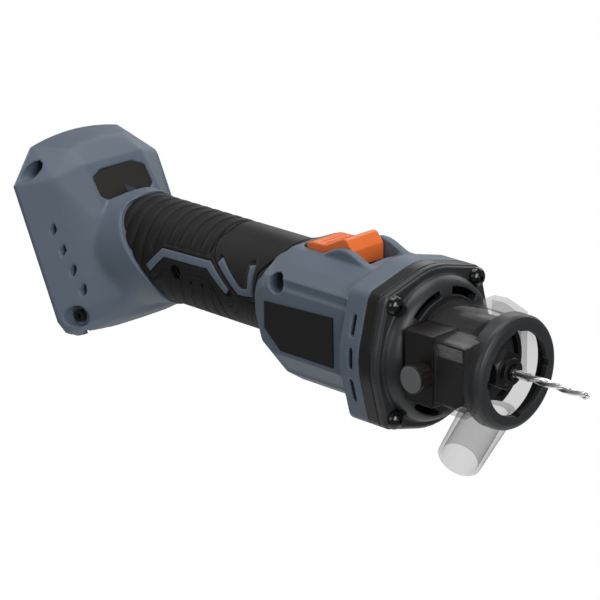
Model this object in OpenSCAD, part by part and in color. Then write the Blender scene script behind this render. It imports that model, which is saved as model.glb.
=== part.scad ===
// Cordless drywall cut out tool, with its bit, depth guide and dust port.
// X runs forward along the spindle, Z is up, and Y = 0 is the split of the casing.
// The origin is on the bit's axis, in the front face of the foot ring at rest.

/* [Head] */
// Radius of the round head rim
head_r = 31.9; // [31:0.1:34]
// Distance of each cover screw from the axis, along Y and along Z
screw_half = 22.5; // [21.5:0.25:23.5]
// Radius of the four corner lobes
lobe_r = 4.4; // [4.2:0.1:6]
// Thickness of the cover's rim
rim_t = 3.6; // [3.4:0.1:6]
// Thickness of the spacer plate behind the cover
spacer_t = 5.7; // [4:0.1:8]
// Length of the casing's vented band behind the spacer plate
band_t = 10.2; // [9.6:0.1:12]
// Radius of the raised dome on the cover
dome_r = 28.5; // [27.5:0.25:29.5]
// Height of the dome over the rim
dome_h = 6; // [5:0.1:6.2]
// Wall of the cover
cover_wall = 2.4; // [2:0.1:3]
// Mean radius of the arc slots in the dome
slot_r = 23.25; // [23:0.05:24]
// Width of the arc slots
slot_w = 3; // [2:0.25:3.5]
// Shank radius of the cover screws
screw_r = 1.6; // [1.4:0.05:2]
// Head radius of the cover screws
screw_head_r = 3.9; // [3:0.1:4]
// Height of the cover screws' round heads
screw_head_h = 3.6; // [2.4:0.1:4]

/* [Depth guide] */
// Distance from the cover's rim to the front face of the foot ring
guide_reach = 41.4; // [41:0.1:44]
// Travel of the depth guide, forward from rest
guide_travel = 12; // [6:1:14]
// Travel of the depth guide, back from rest
guide_back = 0.5; // [0.2:0.1:0.8]
// Outer radius of the foot ring
ring_r = 22; // [21.5:0.25:26]
// Radius of the hole in the foot ring
ring_hole_r = 16.2; // [14:0.1:17]
// Length of the foot ring
ring_t = 8; // [7:0.25:10]
// Thickness of the ring's front lip
lip_t = 2.5; // [2:0.25:3.5]
// Outer radius of the clear shroud
shroud_r = 20; // [19.8:0.1:20.6]
// Wall of the clear shroud
shroud_wall = 2; // [1.6:0.1:2.2]
// Outer radius of the cover's neck, which the guide slides on
neck_r = 16; // [15:0.1:16.2]
// Length of sleeve that stays on the neck at full travel
neck_hold = 7.5; // [6:0.5:9]
// Running clearance of the sleeve on the neck
slide_gap = 0.1; // [0.05:0.01:0.1]
// Wall of the sliding sleeve
sleeve_wall = 1.5; // [1.2:0.1:1.6]
// Radius of the clamp knob
knob_r = 5.5; // [4.5:0.25:6.5]
// Length of the clamp knob
knob_len = 7.3; // [6:0.1:12]
// Radius of the clamp stud
stud_r = 2; // [1.5:0.25:2.5]

/* [Dust port] */
// Angle of the port, back from straight down
port_angle = 31; // [26:1:33]
// Outer radius of the port at its mouth
port_r = 8.8; // [8.5:0.1:9.5]
// Outer radius of the port at its root
port_root_r = 9.8; // [9.6:0.1:10.2]
// Radius of the port's bore
port_bore_r = 7.5; // [6.5:0.1:8]
// Distance of the port's mouth from the spindle axis, along the port
port_len = 48.4; // [42:0.2:60]
// Length of the nozzle's seat in the port, from the mouth in to a small stop
port_seat = 20; // [12:1:22]

/* [Bit and collet] */
// Radius of the bit's shank
bit_r = 1.6; // [1.5:0.05:1.7]
// Length of bit beyond the foot ring
bit_out = 33.5; // [24:0.5:45]
// Corner radius of the collet nut
nut_r = 8; // [7.5:0.25:9]
// Length of the collet nut
nut_len = 14; // [12:0.5:14]

/* [Motor] */
// Radius of the stator
stator_r = 21; // [20:0.25:21]
// Length of the stator core
stator_len = 24; // [20:1:26]
// Radius of the rotor
rotor_r = 11; // [10:0.25:11.5]
// Air gap between the rotor and the stator
air_gap = 0.6; // [0.5:0.1:1]
// Radius of the cooling fan
fan_r = 22.6; // [20:0.2:22.8]
// Number of fan blades
fan_blades = 11; // [7:1:15]
// Outer radius of the front bearing
front_bearing_r = 11; // [11:0.5:11.5]
// Width of the front bearing
front_bearing_w = 7; // [6:0.5:7]
// Outer radius of the rear bearing
rear_bearing_r = 8; // [6.5:0.5:9.5]
// Width of the rear bearing
rear_bearing_w = 5; // [4:0.5:5]

/* [Motor housing] */
// Half width of the housing between its flat sides
housing_w = 27.5; // [27:0.25:29]
// Height of the housing's top over the spindle axis
housing_top = 29.2; // [28.6:0.1:31]
// Depth of the housing's bottom under the spindle axis
housing_low = 26.1; // [25:0.1:28]
// Distance from the cover's rim to the rear end of the housing
housing_back = 73.5; // [73:0.5:77]
// Height of the switch cheeks over the spindle axis
cheek_top = 33.4; // [33:0.2:35]

/* [Switch] */
// Half width of the switch button
button_w = 8.5; // [7:0.25:9.5]
// Height of the button's front wedge over the spindle axis
button_top = 36.1; // [35.5:0.1:38]
// Travel of the switch button
button_travel = 7; // [4:0.5:8]

/* [Grip] */
// Outer radius of the grip
grip_r = 20.2; // [19.4:0.1:20.6]
// Height of the grip's axis over the spindle axis
grip_z = 6.7; // [6:0.1:7.2]
// Outer radius of the plastic core inside the rubber
core_r = 17.2; // [17:0.1:17.8]
// Radius of the hollow in the grip
hollow_r = 14.7; // [14:0.1:15]
// Distance from the cover's rim to the front seam of the ribbed grip, at its top
seam_back = 103.4; // [102:0.1:105]
// Number of ribs on the grip
rib_count = 8; // [4:1:8]
// Depth of the grooves between the ribs
rib_depth = 0.8; // [0.4:0.1:1.2]

/* [Battery foot] */
// Rake of the foot's rear face from the vertical
foot_rake = 25; // [22:0.5:27]
// Distance from the cover's rim to the foot's rear face, on the axis
foot_back = 186.2; // [184:0.5:200]
// Half width of the foot
foot_w = 37.8; // [36:0.2:40]
// Height of the foot's crown, along the rear face
foot_top = 49.5; // [49:0.5:53]
// Depth of the foot's lower edge, along the rear face
foot_low = 35; // [33.8:0.2:38]
// Depth of the foot from its rear face to its front panel
foot_d = 27.4; // [27:0.2:30]
// Depth of the battery pocket
pocket_d = 5.6; // [5:0.1:5.6]
// Half width of the battery pocket
pocket_w = 29; // [27:0.5:30]
// Overhang of the battery rails
rail_w = 3; // [2:0.25:4]

/* [Hidden] */

// Colours
slate = [0.33, 0.38, 0.44];
rubber_black = [0.09, 0.09, 0.09];
charcoal = [0.2, 0.21, 0.22];
gloss_black = [0.06, 0.06, 0.06];
switch_orange = [0.92, 0.36, 0.1];
smoke = [0.62, 0.64, 0.66, 0.4];
steel = [0.75, 0.75, 0.76];
copper = [0.72, 0.43, 0.25];
board_green = [0.1, 0.33, 0.2];
brass = [0.78, 0.62, 0.3];

// Clearances
snug = 0.05;
seat_gap = 0.1;
body_gap = 0.3;
cut = 1;

// Head planes, from the rim plane of the cover back
spacer_x = -rim_t - spacer_t;
band_x = spacer_x - band_t;

// Motor train
fan_w = 7;
fan_x = band_x + 1.5;
vent_x = -14.2;
winding_w = 3.5;
stator_x = band_x - winding_w - stator_len - 1.5;
motor_bay_r = stator_r + snug;
head_bay_r = 24;
shaft_r = 4;
tail_r = 2.5;
board_gap = 0.5;
board_t = 1.4;
rear_bearing_x = -housing_back + 5.5;
bulkhead_x = rear_bearing_x - 1;
front_bearing_x = 1.5;
nose_r = 6;
thread_r = 5.4;
nut_front = 39;
nut_back = nut_front - nut_len;
collet_back = nut_back + 1;
collet_front = nut_front + 0.8;
bit_back = collet_back + 3;
held_r = bit_r - 0.4;
bit_tip = guide_reach + bit_out;
flute_start = guide_reach + 5;

// Depth guide
shroud_in = shroud_r - shroud_wall;
shroud_back = 7;
shroud_front = guide_reach - lip_t;
ring_back = guide_reach - ring_t;
sleeve_in = neck_r + slide_gap;
sleeve_out = sleeve_in + sleeve_wall;
sleeve_back = shroud_back - 0.5;
sleeve_front = 27.5;
neck_len = sleeve_back + guide_travel + neck_hold;
flank = dome_r - neck_r - 6.7;
slot_sweep = 30;
box_top = 15.7;
box_low = -12;
box_y = 24.6;
box_wall = 1.6;
near_box_back = 22;
near_box_front = 37.2;
block_y = box_y - box_wall - body_gap;
block_in = sleeve_out + body_gap;
block_top = box_top - box_wall - body_gap;
block_low = box_low + box_wall + body_gap;
block_back = 7.5;
block_front = near_box_back - guide_back - body_gap;
far_box_front = 24.5;
rail_front = ring_back - box_wall - guide_back - body_gap;
rail_tip = near_box_front - box_wall - guide_back - body_gap;
rail_tip_low = 6.5;
stud_x = 17.5;
stud_z = 0.5;
knob_y = box_y + 0.4;

// Dust port
port_x = 37.8;
port_stop_r = port_bore_r - 0.3;

// Switch well
well_back = 62.3;
button_back = 61.1;
button_front = 34.3;
well_front = button_front - button_travel - 0.3;
cheek_w = 3.4;
link_top = 25.3;
bar_top = 23.4;
bar_low = 21.2;
link_w = 3.2;
hook_w = 1.8;
arm_low = 15.6;
arm_top = 18;
leg_back = 68.5;
leg_front = 67;
post_back = 51;
post_front = 35.1;
hook_back = 83;

// Foot
rim_d = 2;
crease_d = 15.8;
crease_w = foot_w - 9.2;
front_w = foot_w - 18;
crown_half = 23.4;
pocket_top = 31;
lip_d = 2.6;
cavity_w = 19;
cavity_front = foot_d - 7.4;
badge_s = 22.2;
badge_d = foot_d - 4.1;
badge_tilt = 9.2;
badge_t = 1.5;
badge_w = 14.2;
badge_proud = 0.5;
shell_screw_head_r = 2.7;
boss_r = 2.2;

// Moves children to the head's own frame, with X = 0 in the cover's rim plane
module head_frame() {
    translate([-guide_reach, 0, 0]) children();
}

// Moves children to the foot's raked frame: X out of the rear face, Z up along it
module raked() {
    head_frame() translate([-foot_back, 0, 0]) rotate([0, -foot_rake, 0]) children();
}

// Cylinder along X from x0 to x1
module rod(r, x0, x1, sides = 64) {
    translate([x0, 0, 0]) rotate([0, 90, 0]) cylinder(r = r, h = x1 - x0, $fn = sides);
}

// Tube along X from x0 to x1
module tube(r_out, r_in, x0, x1) {
    difference() {
        rod(r_out, x0, x1, 96);
        rod(r_in, x0 - cut, x1 + cut, 96);
    }
}

// Turned solid about X from points of radius and X
module turned(points) {
    rotate([0, 90, 0]) rotate_extrude($fn = 96) polygon(points);
}

// Outline in the YZ plane, extruded from x0 to x1
module slab_x(x0, x1) {
    translate([x0, 0, 0]) rotate([90, 0, 90]) linear_extrude(x1 - x0) children();
}

// Outline in the XZ plane, extruded from y0 to y1
module slab_y(y0, y1) {
    translate([0, y1, 0]) rotate([90, 0, 0]) linear_extrude(y1 - y0) children();
}

// Box given by its low and high corners
module block(low, high) {
    translate(low) cube(high - low);
}

// Outline of the head: a round rim with four lobes
module head_outline(grow = 0) {
    hull() {
        circle(r = head_r + grow, $fn = 96);
        for (a = [-1, 1], b = [-1, 1])
            translate([a * screw_half, b * screw_half]) circle(r = lobe_r + grow, $fn = 32);
    }
}

// Places children at the four cover screws
module at_cover_screws() {
    for (a = [-1, 1], b = [-1, 1])
        translate([0, a * screw_half, b * screw_half]) children();
}

// Sections of the motor housing in the YZ plane, one side of each
w = housing_w;
housing_half = [[0, -housing_low], [w - 15.5, -housing_low + 1.4], [w - 7.1, -19.2],
                [w - 6.6, -17.4], [w, -9.5], [w, 16.9], [w - 0.9, 21.2], [w - 7.1, 25.6],
                [w - 14.5, housing_top - 0.6], [0, housing_top]];
middle_half = [[0, -housing_low + 3], [w - 15.5, -21], [w - 7.5, -15], [w, -6],
               [w, 15.6], [w - 2.1, 20.4], [w - 8.5, 25.4], [w - 15.5, housing_top - 0.7],
               [0, housing_top - 0.1]];
rear_half = [[0, -14.4], [w - 19.5, -13.6], [w - 12.5, -10.2], [w - 7.1, -4.4], [w - 4.9, 2],
             [w - 4.5, 9], [w - 5.9, 15.6], [w - 9.5, 21], [w - 15.5, 26],
             [0, housing_top - 1.2]];
function mirrored(points) =
    concat(points, [for (i = [len(points) - 2:-1:1]) [-points[i][0], points[i][1]]]);

// Line of the housing's rear edge and of the collar's rear edge, as X and Z
housing_edge = [[10, 50], [9.6, 27.4], [8, 26.2], [7.5, 22.9], [5.9, 19.3], [1.6, 15.5],
                [0.2, 13], [0, 9], [0, -50]];
collar_edge = [[5.4, 50], [5.2, 27.4], [4.9, 26.2], [4.4, 24], [1.8, 20.9], [-1.4, 17.4],
               [-2.6, 15.1], [-1.9, 12.1], [-1.3, 6.7], [-1.5, -50]];
function shifted(points, dx) = [for (p = points) [p[0] - housing_back + dx, p[1]]];
function backwards(points) = [for (i = [len(points) - 1:-1:0]) points[i]];

module behind_edge(gap) {
    polygon(concat(shifted(housing_edge, gap), [[-300, -50], [-300, 50]]));
}

module housing_body() {
    full = 15;
    difference() {
        union() {
            slab_x(-housing_back + full, band_x + 0.5) polygon(mirrored(housing_half));
            hull() {
                slab_x(-housing_back, -housing_back + 0.5) polygon(mirrored(rear_half));
                slab_x(-housing_back + 8.5, -housing_back + 9) polygon(mirrored(middle_half));
                slab_x(-housing_back + full, -housing_back + full + 0.5)
                    polygon(mirrored(housing_half));
            }
        }
        slab_y(-60, 60) behind_edge(0);
        for (m = [-1, 1])
            translate([0, m * (housing_w + 8.7), 0])
                block([-53.5, -10, 17.4], [band_x + 0.5, 10, 21]);
    }
}

// Side profile of a switch cheek in the XZ plane
cheek_profile = concat([[-55, 24]],
                       [for (i = [0:8]) let (t = i / 8)
                           [-54 + 18 * t, 26.6 + (cheek_top - 26.6) * pow(sin(90 * t), 1.6)]],
                       [for (i = [1:8]) let (t = i / 8)
                           [-36 + 15 * t, 29 + (cheek_top - 29) * pow(cos(90 * t), 2)]],
                       [[-21, 24]]);

// Outline of the foot in its raked frame, as points of Y and height
function foot_outline(w, top, low, crown, rise, shoulder) =
    concat([for (i = [0:8]) let (y = crown * i / 8) [y, top - rise * pow(y / crown, 2)]],
           [[w, shoulder], [w, -low + 9.5], [w - 2.4, -low + 4], [w - 8, -low + 1.4],
            [w * 0.4, -low + 0.2], [0, -low]]);

module foot_outer() {
    r = 4;
    hull() {
        slab_x(0, rim_d)
            polygon(mirrored(foot_outline(foot_w, foot_top, foot_low, crown_half, 2.8,
                                          foot_top - 16.6)));
        slab_x(crease_d - 0.4, crease_d)
            polygon(mirrored(foot_outline(crease_w, foot_top - 7.2, foot_low - 1.6,
                                          crown_half - 8, 1.4, foot_top - 19)));
        for (m = [-1, 1], p = [[foot_d - 5.6, foot_top - 18.5, 1], [foot_d - 0.8, 4, 0],
                               [foot_d, -foot_low + 12.4, 0]])
            translate([p[0] - r, m * (front_w - r - p[2]), p[1]]) sphere(r = r, $fn = 24);
    }
}

// Neck of the foot round the grip, wider toward the front panel
module foot_neck() {
    translate([-136, 0, grip_z]) rotate([0, -96, 0])
        cylinder(r1 = grip_r + 0.4, r2 = grip_r + 5, h = 38, $fn = 96);
}

// Cylinder along Y in the current frame
module rod_y(r, y0, y1, sides = 48) {
    translate([0, y1, 0]) rotate([90, 0, 0]) cylinder(r = r, h = y1 - y0, $fn = sides);
}

// Stripe paths on the side of the grip, as centre lines in X and Z
rear_stripe = [[-138.1, 4.8], [-129.9, 12.9], [-103.4, 13.6], [-92, 5.4]];
front_stripe = [[-98.1, 16.5], [-85.2, 7.2], [-79.2, 7.6], [-80.8, 18]];
stripe_w = 3;

function unit(v) = v / norm(v);
function side_point(path, i, w) =
    let (a = unit(path[min(i + 1, len(path) - 1)] - path[min(i, len(path) - 2)]),
         b = unit(path[max(i, 1)] - path[max(i - 1, 0)]),
         n = unit([-(a + b)[1], (a + b)[0]]),
         k = max(0.5, n * [-a[1], a[0]]))
    path[i] + n * w / k;
function stripe(path, w) =
    concat([for (i = [0:len(path) - 1]) side_point(path, i, w / 2)],
           [for (i = [len(path) - 1:-1:0]) side_point(path, i, -w / 2)]);

module stripes(grow = 0) {
    polygon(stripe(rear_stripe, stripe_w + 2 * grow));
    polygon(stripe(front_stripe, stripe_w + 2 * grow));
}

// Seam between the ribbed grip and the smooth band, as X and Z
seam = [[-seam_back + 0.6, 50], [-seam_back + 0.5, 26], [-seam_back - 0.4, 23.2],
        [-seam_back, 20], [-seam_back + 1.8, 16.4], [-seam_back + 5.4, 13.7],
        [-seam_back + 13.7, 7.6], [-seam_back + 17.2, 5.5], [-housing_back - 3.5, 3.9],
        [-housing_back, 3.9]];

module band_side(gap) {
    polygon(concat([for (p = seam) [p[0] + gap, p[1] + gap / 2]],
                   [[-50, 3.9 + gap / 2], [-50, 50]]));
}

// Line where the grip enters the foot, as X and Z
entry = [[-158.4, 50], [-158.6, 26.8], [-160.4, 25.2], [-159, 21.6], [-153.3, 14.5],
         [-145.4, 6.4], [-139.6, -0.3], [-137, -4.4], [-135.4, -8.5], [-135.4, -50]];
module behind_entry(gap) {
    polygon(concat([for (p = entry) [p[0] + gap, p[1]]], [[-300, -50], [-300, 50]]));
}

// Screws along Y that join the two halves, as X, Z, seat depth and well radius
body_screws = [[-57.5, 18.6, 19, 3.9], [-121.8, 6.7, 14.9, 2.9]];
foot_screws = [[5.4, 36.6, 21, 3.6], [7.6, -25.8, 29.6, 4.4]];
screw_reach = 9;

module screw_cut(p) {
    translate([p[0], 0, p[1]]) {
        rod_y(screw_r + seat_gap, -p[2] - cut, screw_reach);
        rod_y(p[3], -60, -p[2]);
    }
}

module screw_cuts() {
    head_frame() for (p = body_screws) screw_cut(p);
    raked() for (p = foot_screws) screw_cut(p);
}

// The casing before it is split: foot, grip core, housing and vented band
module casing_outer() {
    head_frame() {
        slab_x(band_x, spacer_x) head_outline();
        housing_body();
        for (m = [-1, 1])
            translate([0, m * (button_w + 0.5 + cheek_w / 2), 0])
                slab_y(-cheek_w / 2, cheek_w / 2) polygon(cheek_profile);
        translate([0, 0, grip_z]) rod(core_r, -foot_back + 22, -60, 96);
        grip_inlays();
    }
    difference() {
        union() {
            head_frame() translate([0, 0, grip_z]) rod(grip_r + 0.6, -foot_back + 14, -130, 96);
            head_frame() foot_neck();
        }
        head_frame() difference() {
            block([-220, -40, -60], [-100, 40, 60]);
            slab_y(-60, 60) behind_entry(0);
        }
    }
    raked() foot_outer();
}

module grip_inlays() {
    intersection() {
        translate([0, 0, grip_z]) tube(grip_r, core_r - 1, -165, -housing_back);
        union() {
            slab_y(-30, -8) stripes();
            slab_y(8, 30) stripes();
        }
    }
}

module casing_hollow() {
    head_frame() {
        rod(head_bay_r, band_x, spacer_x + cut, 96);
        rod(motor_bay_r, bulkhead_x + rear_bearing_w + 2, band_x + cut, 96);
        rod(rear_bearing_r + snug, rear_bearing_x, bulkhead_x + rear_bearing_w + 3);
        translate([0, 0, grip_z]) rod(hollow_r, -foot_back + 18, bulkhead_x - 1.5, 96);
        translate([0, 0, link_top - 0.4]) linear_extrude(40)
            polygon(slider_plan(well_back, well_front, button_w + 0.4));
        block([-leg_back - 0.5, -link_w - 0.4, bar_low - 0.3],
              [-post_front + button_travel + 0.4, link_w + 0.4, bar_top + 0.6]);
        block([-leg_back - 2, -link_w - 0.4, arm_low - 0.4],
              [-leg_front + button_travel + 0.3, link_w + 0.4, bar_top]);
        block([-post_back - 0.4, -link_w - 0.4, bar_low],
              [-post_front + button_travel + 0.4, link_w + 0.4, link_top + 0.2]);
        for (p = lead_holes)
            translate([0, p[0], p[1]]) rod(1.6, bulkhead_x - 3, bulkhead_x + 9, 24);
    }
    raked() {
        block([-cut, -pocket_w + rail_w, -60], [pocket_d, pocket_w - rail_w, pocket_top]);
        block([lip_d, -pocket_w, -60], [pocket_d, pocket_w, pocket_top]);
        block([pocket_d + 2, -cavity_w, -19], [cavity_front, cavity_w, 30]);
        block([pocket_d - cut, -14.3, 11.7], [pocket_d + 3, 14.3, 27.3]);
    }
}

// Plan of the button and its well: square in front and rounded behind, as X and Y
function slider_plan(back, front, half_w) =
    concat([[-front, -half_w], [-front, half_w]],
           [for (i = [0:6]) let (a = 15 * i)
               [-back + 4 - 4 * sin(a), half_w - 4 + 4 * cos(a)]],
           [for (i = [6:-1:0]) let (a = 15 * i)
               [-back + 4 - 4 * sin(a), -half_w + 4 - 4 * cos(a)]]);

// Slot outline with round ends, from low to high along Z, cut through along Y
module vent_slot(x, low, high) {
    r = 1;
    block([x - r, -8, low + r], [x + r, 8, high - r]);
    for (z = [low + r, high - r])
        translate([x, 0, z]) rod_y(r, -8, 8, 24);
}

// Vents: three upright slots on each side of the band, and four in each side of the foot
module vent_cuts() {
    head_frame() for (m = [-1, 1]) translate([0, m * 30, 0]) {
        vent_slot(vent_x, 8.6, 17);
        vent_slot(vent_x + 0.4, -3.9, 4.7);
        vent_slot(vent_x - 0.4, -17.6, -8);
    }
    raked() for (m = [-1, 1], i = [0:3])
        translate([9.7 + 1.1 * i, m * 26, 10.8 - 9.1 * i])
            rotate([0, 20, 0]) rotate([90, 0, 0]) linear_extrude(18, center = true)
                polygon([[0, 3.6], [1.2, 0], [0, -3.6], [-1.2, 0]]);
}

// Ribs in the core that hold the switch by its feet and the board by its edges
module inner_ribs() {
    intersection() {
        translate([0, 0, grip_z]) rod(hollow_r + 0.5, -152, -90, 48);
        union() {
            for (m = [-1, 1]) {
                translate([0, m * 14, 0]) difference() {
                    block([-96, -4.6, 2], [-90, 4.6, 10]);
                    block([-94.1, -5, 2.9], [-91.9, 5, 9.1]);
                }
                translate([0, m * 14, 0]) block([-151, -2.6, -4], [-103, 2.6, 1.1]);
            }
        }
    }
}

module casing() {
    difference() {
        union() {
            difference() {
                casing_outer();
                casing_hollow();
            }
            intersection() {
                head_frame() for (p = body_screws)
                    translate([p[0], 0, p[1]]) rod_y(boss_r, -30, 30);
                casing_outer();
            }
            head_frame() inner_ribs();
        }
        screw_cuts();
        vent_cuts();
        raked() badge_place() slab_x(-1.1, 10) badge_outline(0.15);
        head_frame() at_cover_screws() rod(screw_r + snug, band_x - cut, spacer_x + cut, 32);
    }
}

module half(side) {
    intersection() {
        children();
        if (side < 0)
            block([-400, -100, -150], [100, 0, 150]);
        else
            block([-400, 0, -150], [100, 100, 150]);
    }
}

module right_shell() {
    color(slate) half(-1) casing();
}

module left_shell() {
    color(slate) half(1) casing();
}

// Rubber tube round the core, up to the collar, with grooves between the ribs
module rubber_tube() {
    translate([0, 0, grip_z]) tube(grip_r, core_r + seat_gap, -165, -60);
}

module before_collar(gap) {
    slab_y(-60, 60) polygon(concat(shifted(collar_edge, -gap), [[-300, -50], [-300, 50]]));
}

module grip_rear(side) {
    pitch = 6.1;
    half(side) head_frame() difference() {
        intersection() {
            rubber_tube();
            before_collar(0.15);
        }
        slab_y(-60, 60) band_side(0);
        slab_y(-60, 60) behind_entry(0.2);
        slab_y(-40, 40) stripes(seat_gap);
        for (i = [0:rib_count - 1])
            translate([-seam_back - 1.9 - pitch * i, 0, grip_z]) rotate([0, 90, 0])
                rotate_extrude($fn = 72) translate([grip_r, 0]) circle(r = rib_depth, $fn = 16);
        for (p = body_screws)
            translate([p[0], 0, p[1]]) rod_y(p[3], -60, 0);
    }
}

module right_grip() {
    color(rubber_black) grip_rear(-1);
}

module left_grip() {
    color(rubber_black) grip_rear(1);
}

// Smooth band over the top, between the seam and the collar
module grip_front(side) {
    half(side) head_frame() difference() {
        intersection() {
            rubber_tube();
            before_collar(0.15);
            slab_y(-60, 60) band_side(0.4);
        }
        slab_y(-40, 40) stripes(seat_gap);
    }
}

module right_band() {
    color(gloss_black) grip_front(-1);
}

module left_band() {
    color(gloss_black) grip_front(1);
}

// Kinked rubber collar against the housing's rear edge
module collar_ring() {
    color(rubber_black) head_frame() intersection() {
        translate([0, 0, grip_z]) tube(grip_r + 0.8, core_r + seat_gap, -80, -60);
        slab_y(-60, 60)
            polygon(concat(shifted(housing_edge, -0.1), backwards(shifted(collar_edge, 0))));
    }
}

module badge_outline(grow = 0) {
    side = badge_w + grow;
    polygon(mirrored([[0, -6.6 - grow], [side - 3.2, -6.6 - grow], [side, -4.6],
                      [side, 3.8 + grow], [side - 5.8, 6.6 + grow], [0, 6.6 + grow]]));
}

module badge_place() {
    translate([badge_d - badge_t + badge_proud, 0, badge_s]) rotate([0, -badge_tilt, 0]) children();
}

// Bare plate on the front of the foot
module badge_plate() {
    color(charcoal) raked() badge_place() translate([-1, 0, 0]) slab_x(0, badge_t) badge_outline();
}

// Bare plate on the flat side of the housing
label_t = 0.5;
module label_plate() {
    color(gloss_black) head_frame() slab_y(-housing_w - label_t, -housing_w)
        polygon([[-63, 10.6], [-26.4, 12.4], [-26.4, -7.6], [-54.5, -7.6], [-63, -0.2]]);
}

module spacer_plate() {
    color(gloss_black) head_frame() difference() {
        slab_x(spacer_x, -rim_t) head_outline();
        rod(head_bay_r, spacer_x - cut, 0, 96);
        at_cover_screws() rod(screw_r + snug, spacer_x - cut, 0, 32);
    }
}

// Arc slot, from 0 degrees on
module arc_slot() {
    rotate_extrude(angle = slot_sweep + 6, $fn = 96)
        translate([slot_r - slot_w / 2, 0]) square([slot_w, 9]);
}

module front_cover() {
    root = neck_r + 4.5;
    color(charcoal) head_frame() difference() {
        union() {
            slab_x(-rim_t, -1) head_outline();
            slab_x(-1.01, 0) head_outline(-0.9);
            turned(concat([[0, -1], [dome_r, -1]],
                          [for (i = [0:8]) let (a = 11.25 * i)
                              [dome_r - flank + flank * cos(a), 0.4 + (dome_h - 0.4) * sin(a)]],
                          [[root + 0.6, dome_h], [root, dome_h - 1], [neck_r, dome_h - 1],
                           [neck_r, neck_len - 0.6], [neck_r - 0.6, neck_len], [0, neck_len]]));
        }
        turned([[0, -rim_t - cut], [head_bay_r + 1.5, -rim_t - cut], [head_bay_r + 1.5, -0.6],
                [root + 1, dome_h - cover_wall - 0.4], [front_bearing_r + 2, dome_h - cover_wall - 0.4],
                [front_bearing_r + 2, front_bearing_x - 2], [0, front_bearing_x - 2]]);
        rod(front_bearing_r + 0.01, front_bearing_x - 3, front_bearing_x + front_bearing_w, 96);
        rod(front_bearing_r - 1.5, front_bearing_x, neck_len + cut, 96);
        rotate([0, 90, 0]) for (a = [8, -14 - slot_sweep, 188, 166 - slot_sweep])
            rotate([0, 0, a]) translate([0, 0, -2]) arc_slot();
        at_cover_screws() rod(screw_r + snug, -rim_t - cut, 6, 32);
        at_cover_screws() rod(screw_head_r + 0.5, 0, 6, 32);
    }
}

// Four round-headed screws, each a solid of its own
socket_r = 1;
module cover_screws() {
    head = [for (i = [0:7]) let (a = i * 90 / 7)
               [screw_head_r * cos(a), 0.4 + (screw_head_h - 0.4) * sin(a)]];
    color(gloss_black) head_frame() at_cover_screws() difference() {
        turned(concat([[0, band_x + 2], [screw_r, band_x + 2], [screw_r, 0.02],
                       [screw_head_r - 0.2, 0.02]], head));
        rod(socket_r, screw_head_h - 1.4, screw_head_h + 1, 6);
    }
}

// Screws along Y that join the two shells, each a solid of its own
module shell_screws() {
    color(steel) {
        head_frame() for (p = body_screws)
            translate([p[0], 0, p[1]]) shell_screw(p[2]);
        raked() for (p = foot_screws)
            translate([p[0], 0, p[1]]) shell_screw(p[2]);
    }
}

module shell_screw(well) {
    difference() {
        union() {
            rod_y(screw_r, -well - 1, screw_reach - 1);
            rod_y(shell_screw_head_r - 0.1, -well - 2, -well - 0.01);
        }
        translate([0, -well - 1.2, 0]) rotate([90, 0, 0]) cylinder(r = 1.1, h = 3, $fn = 6);
    }
}

// Laminated core with twelve teeth
tooth_count = 12;
module stator_core() {
    yoke = 4;
    color(steel) head_frame() difference() {
        rod(stator_r, stator_x, stator_x + stator_len, 96);
        rod(rotor_r + air_gap, stator_x - cut, stator_x + stator_len + cut, 96);
        for (i = [0:tooth_count - 1])
            rotate([i * 360 / tooth_count, 0, 0])
                block([stator_x - cut, -1.6, rotor_r + air_gap + 1.2],
                      [stator_x + stator_len + cut, 1.6, stator_r - yoke]);
        for (i = [0:2])
            rotate([i * 120 + 60, 0, 0])
                translate([0, 0, stator_r]) rod(1.2, stator_x - cut, stator_x + stator_len + cut, 24);
    }
}

// End turns of the coils at both ends of the core, each a solid of its own
module stator_windings() {
    inner = rotor_r + air_gap + 1.4;
    outer = stator_r - 3.4;
    color(copper) head_frame() for (x = [stator_x - winding_w, stator_x + stator_len])
        for (i = [0:tooth_count - 1])
            rotate([(i + 0.5) * 360 / tooth_count, 0, 0])
                block([x + 0.05, -2.6, inner], [x + winding_w - 0.05, 2.6, outer]);
}

// Ring board that reads the rotor's place
module sensor_board() {
    x = stator_x - winding_w - board_gap - board_t;
    color(board_green) head_frame() {
        tube(stator_r - 0.3, rotor_r - 2, x, x + board_t);
        for (a = [60, 180, 300])
            rotate([a, 0, 0]) block([x + board_t - 0.01, -2, 13], [x + board_t + 0.4, 2, 15.5]);
    }
}

// Ring with a groove on each face, as a shielded ball bearing shows
module bearing(r_out, r_in, x0, w) {
    difference() {
        tube(r_out, r_in + snug, x0, x0 + w);
        for (x = [x0 - cut, x0 + w - 0.4])
            translate([x, 0, 0]) rotate([0, 90, 0]) difference() {
                cylinder(r = r_in + (r_out - r_in) * 0.72, h = cut + 0.4, $fn = 64);
                translate([0, 0, -cut])
                    cylinder(r = r_in + (r_out - r_in) * 0.3, h = 4, $fn = 64);
            }
    }
}

module rear_bearing() {
    color(steel) head_frame() bearing(rear_bearing_r, tail_r, rear_bearing_x, rear_bearing_w);
}

module front_bearing() {
    color(steel) head_frame() bearing(front_bearing_r, shaft_r, front_bearing_x, front_bearing_w);
}

// Slide switch in the front of the grip, with its mounting feet
module main_switch() {
    color(gloss_black) head_frame() difference() {
        union() {
            block([-97, -6, 1.5], [bulkhead_x - 2.7, 6, arm_low - 1.6]);
            block([-94, -10.4, 3], [-92, 10.4, 9]);
        }
        block([-hook_back - 0.4, -hook_w - 0.3, arm_low - 4.2],
              [-hook_back + 2.5 + button_travel + 0.4, hook_w + 0.3, 30]);
    }
}

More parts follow.
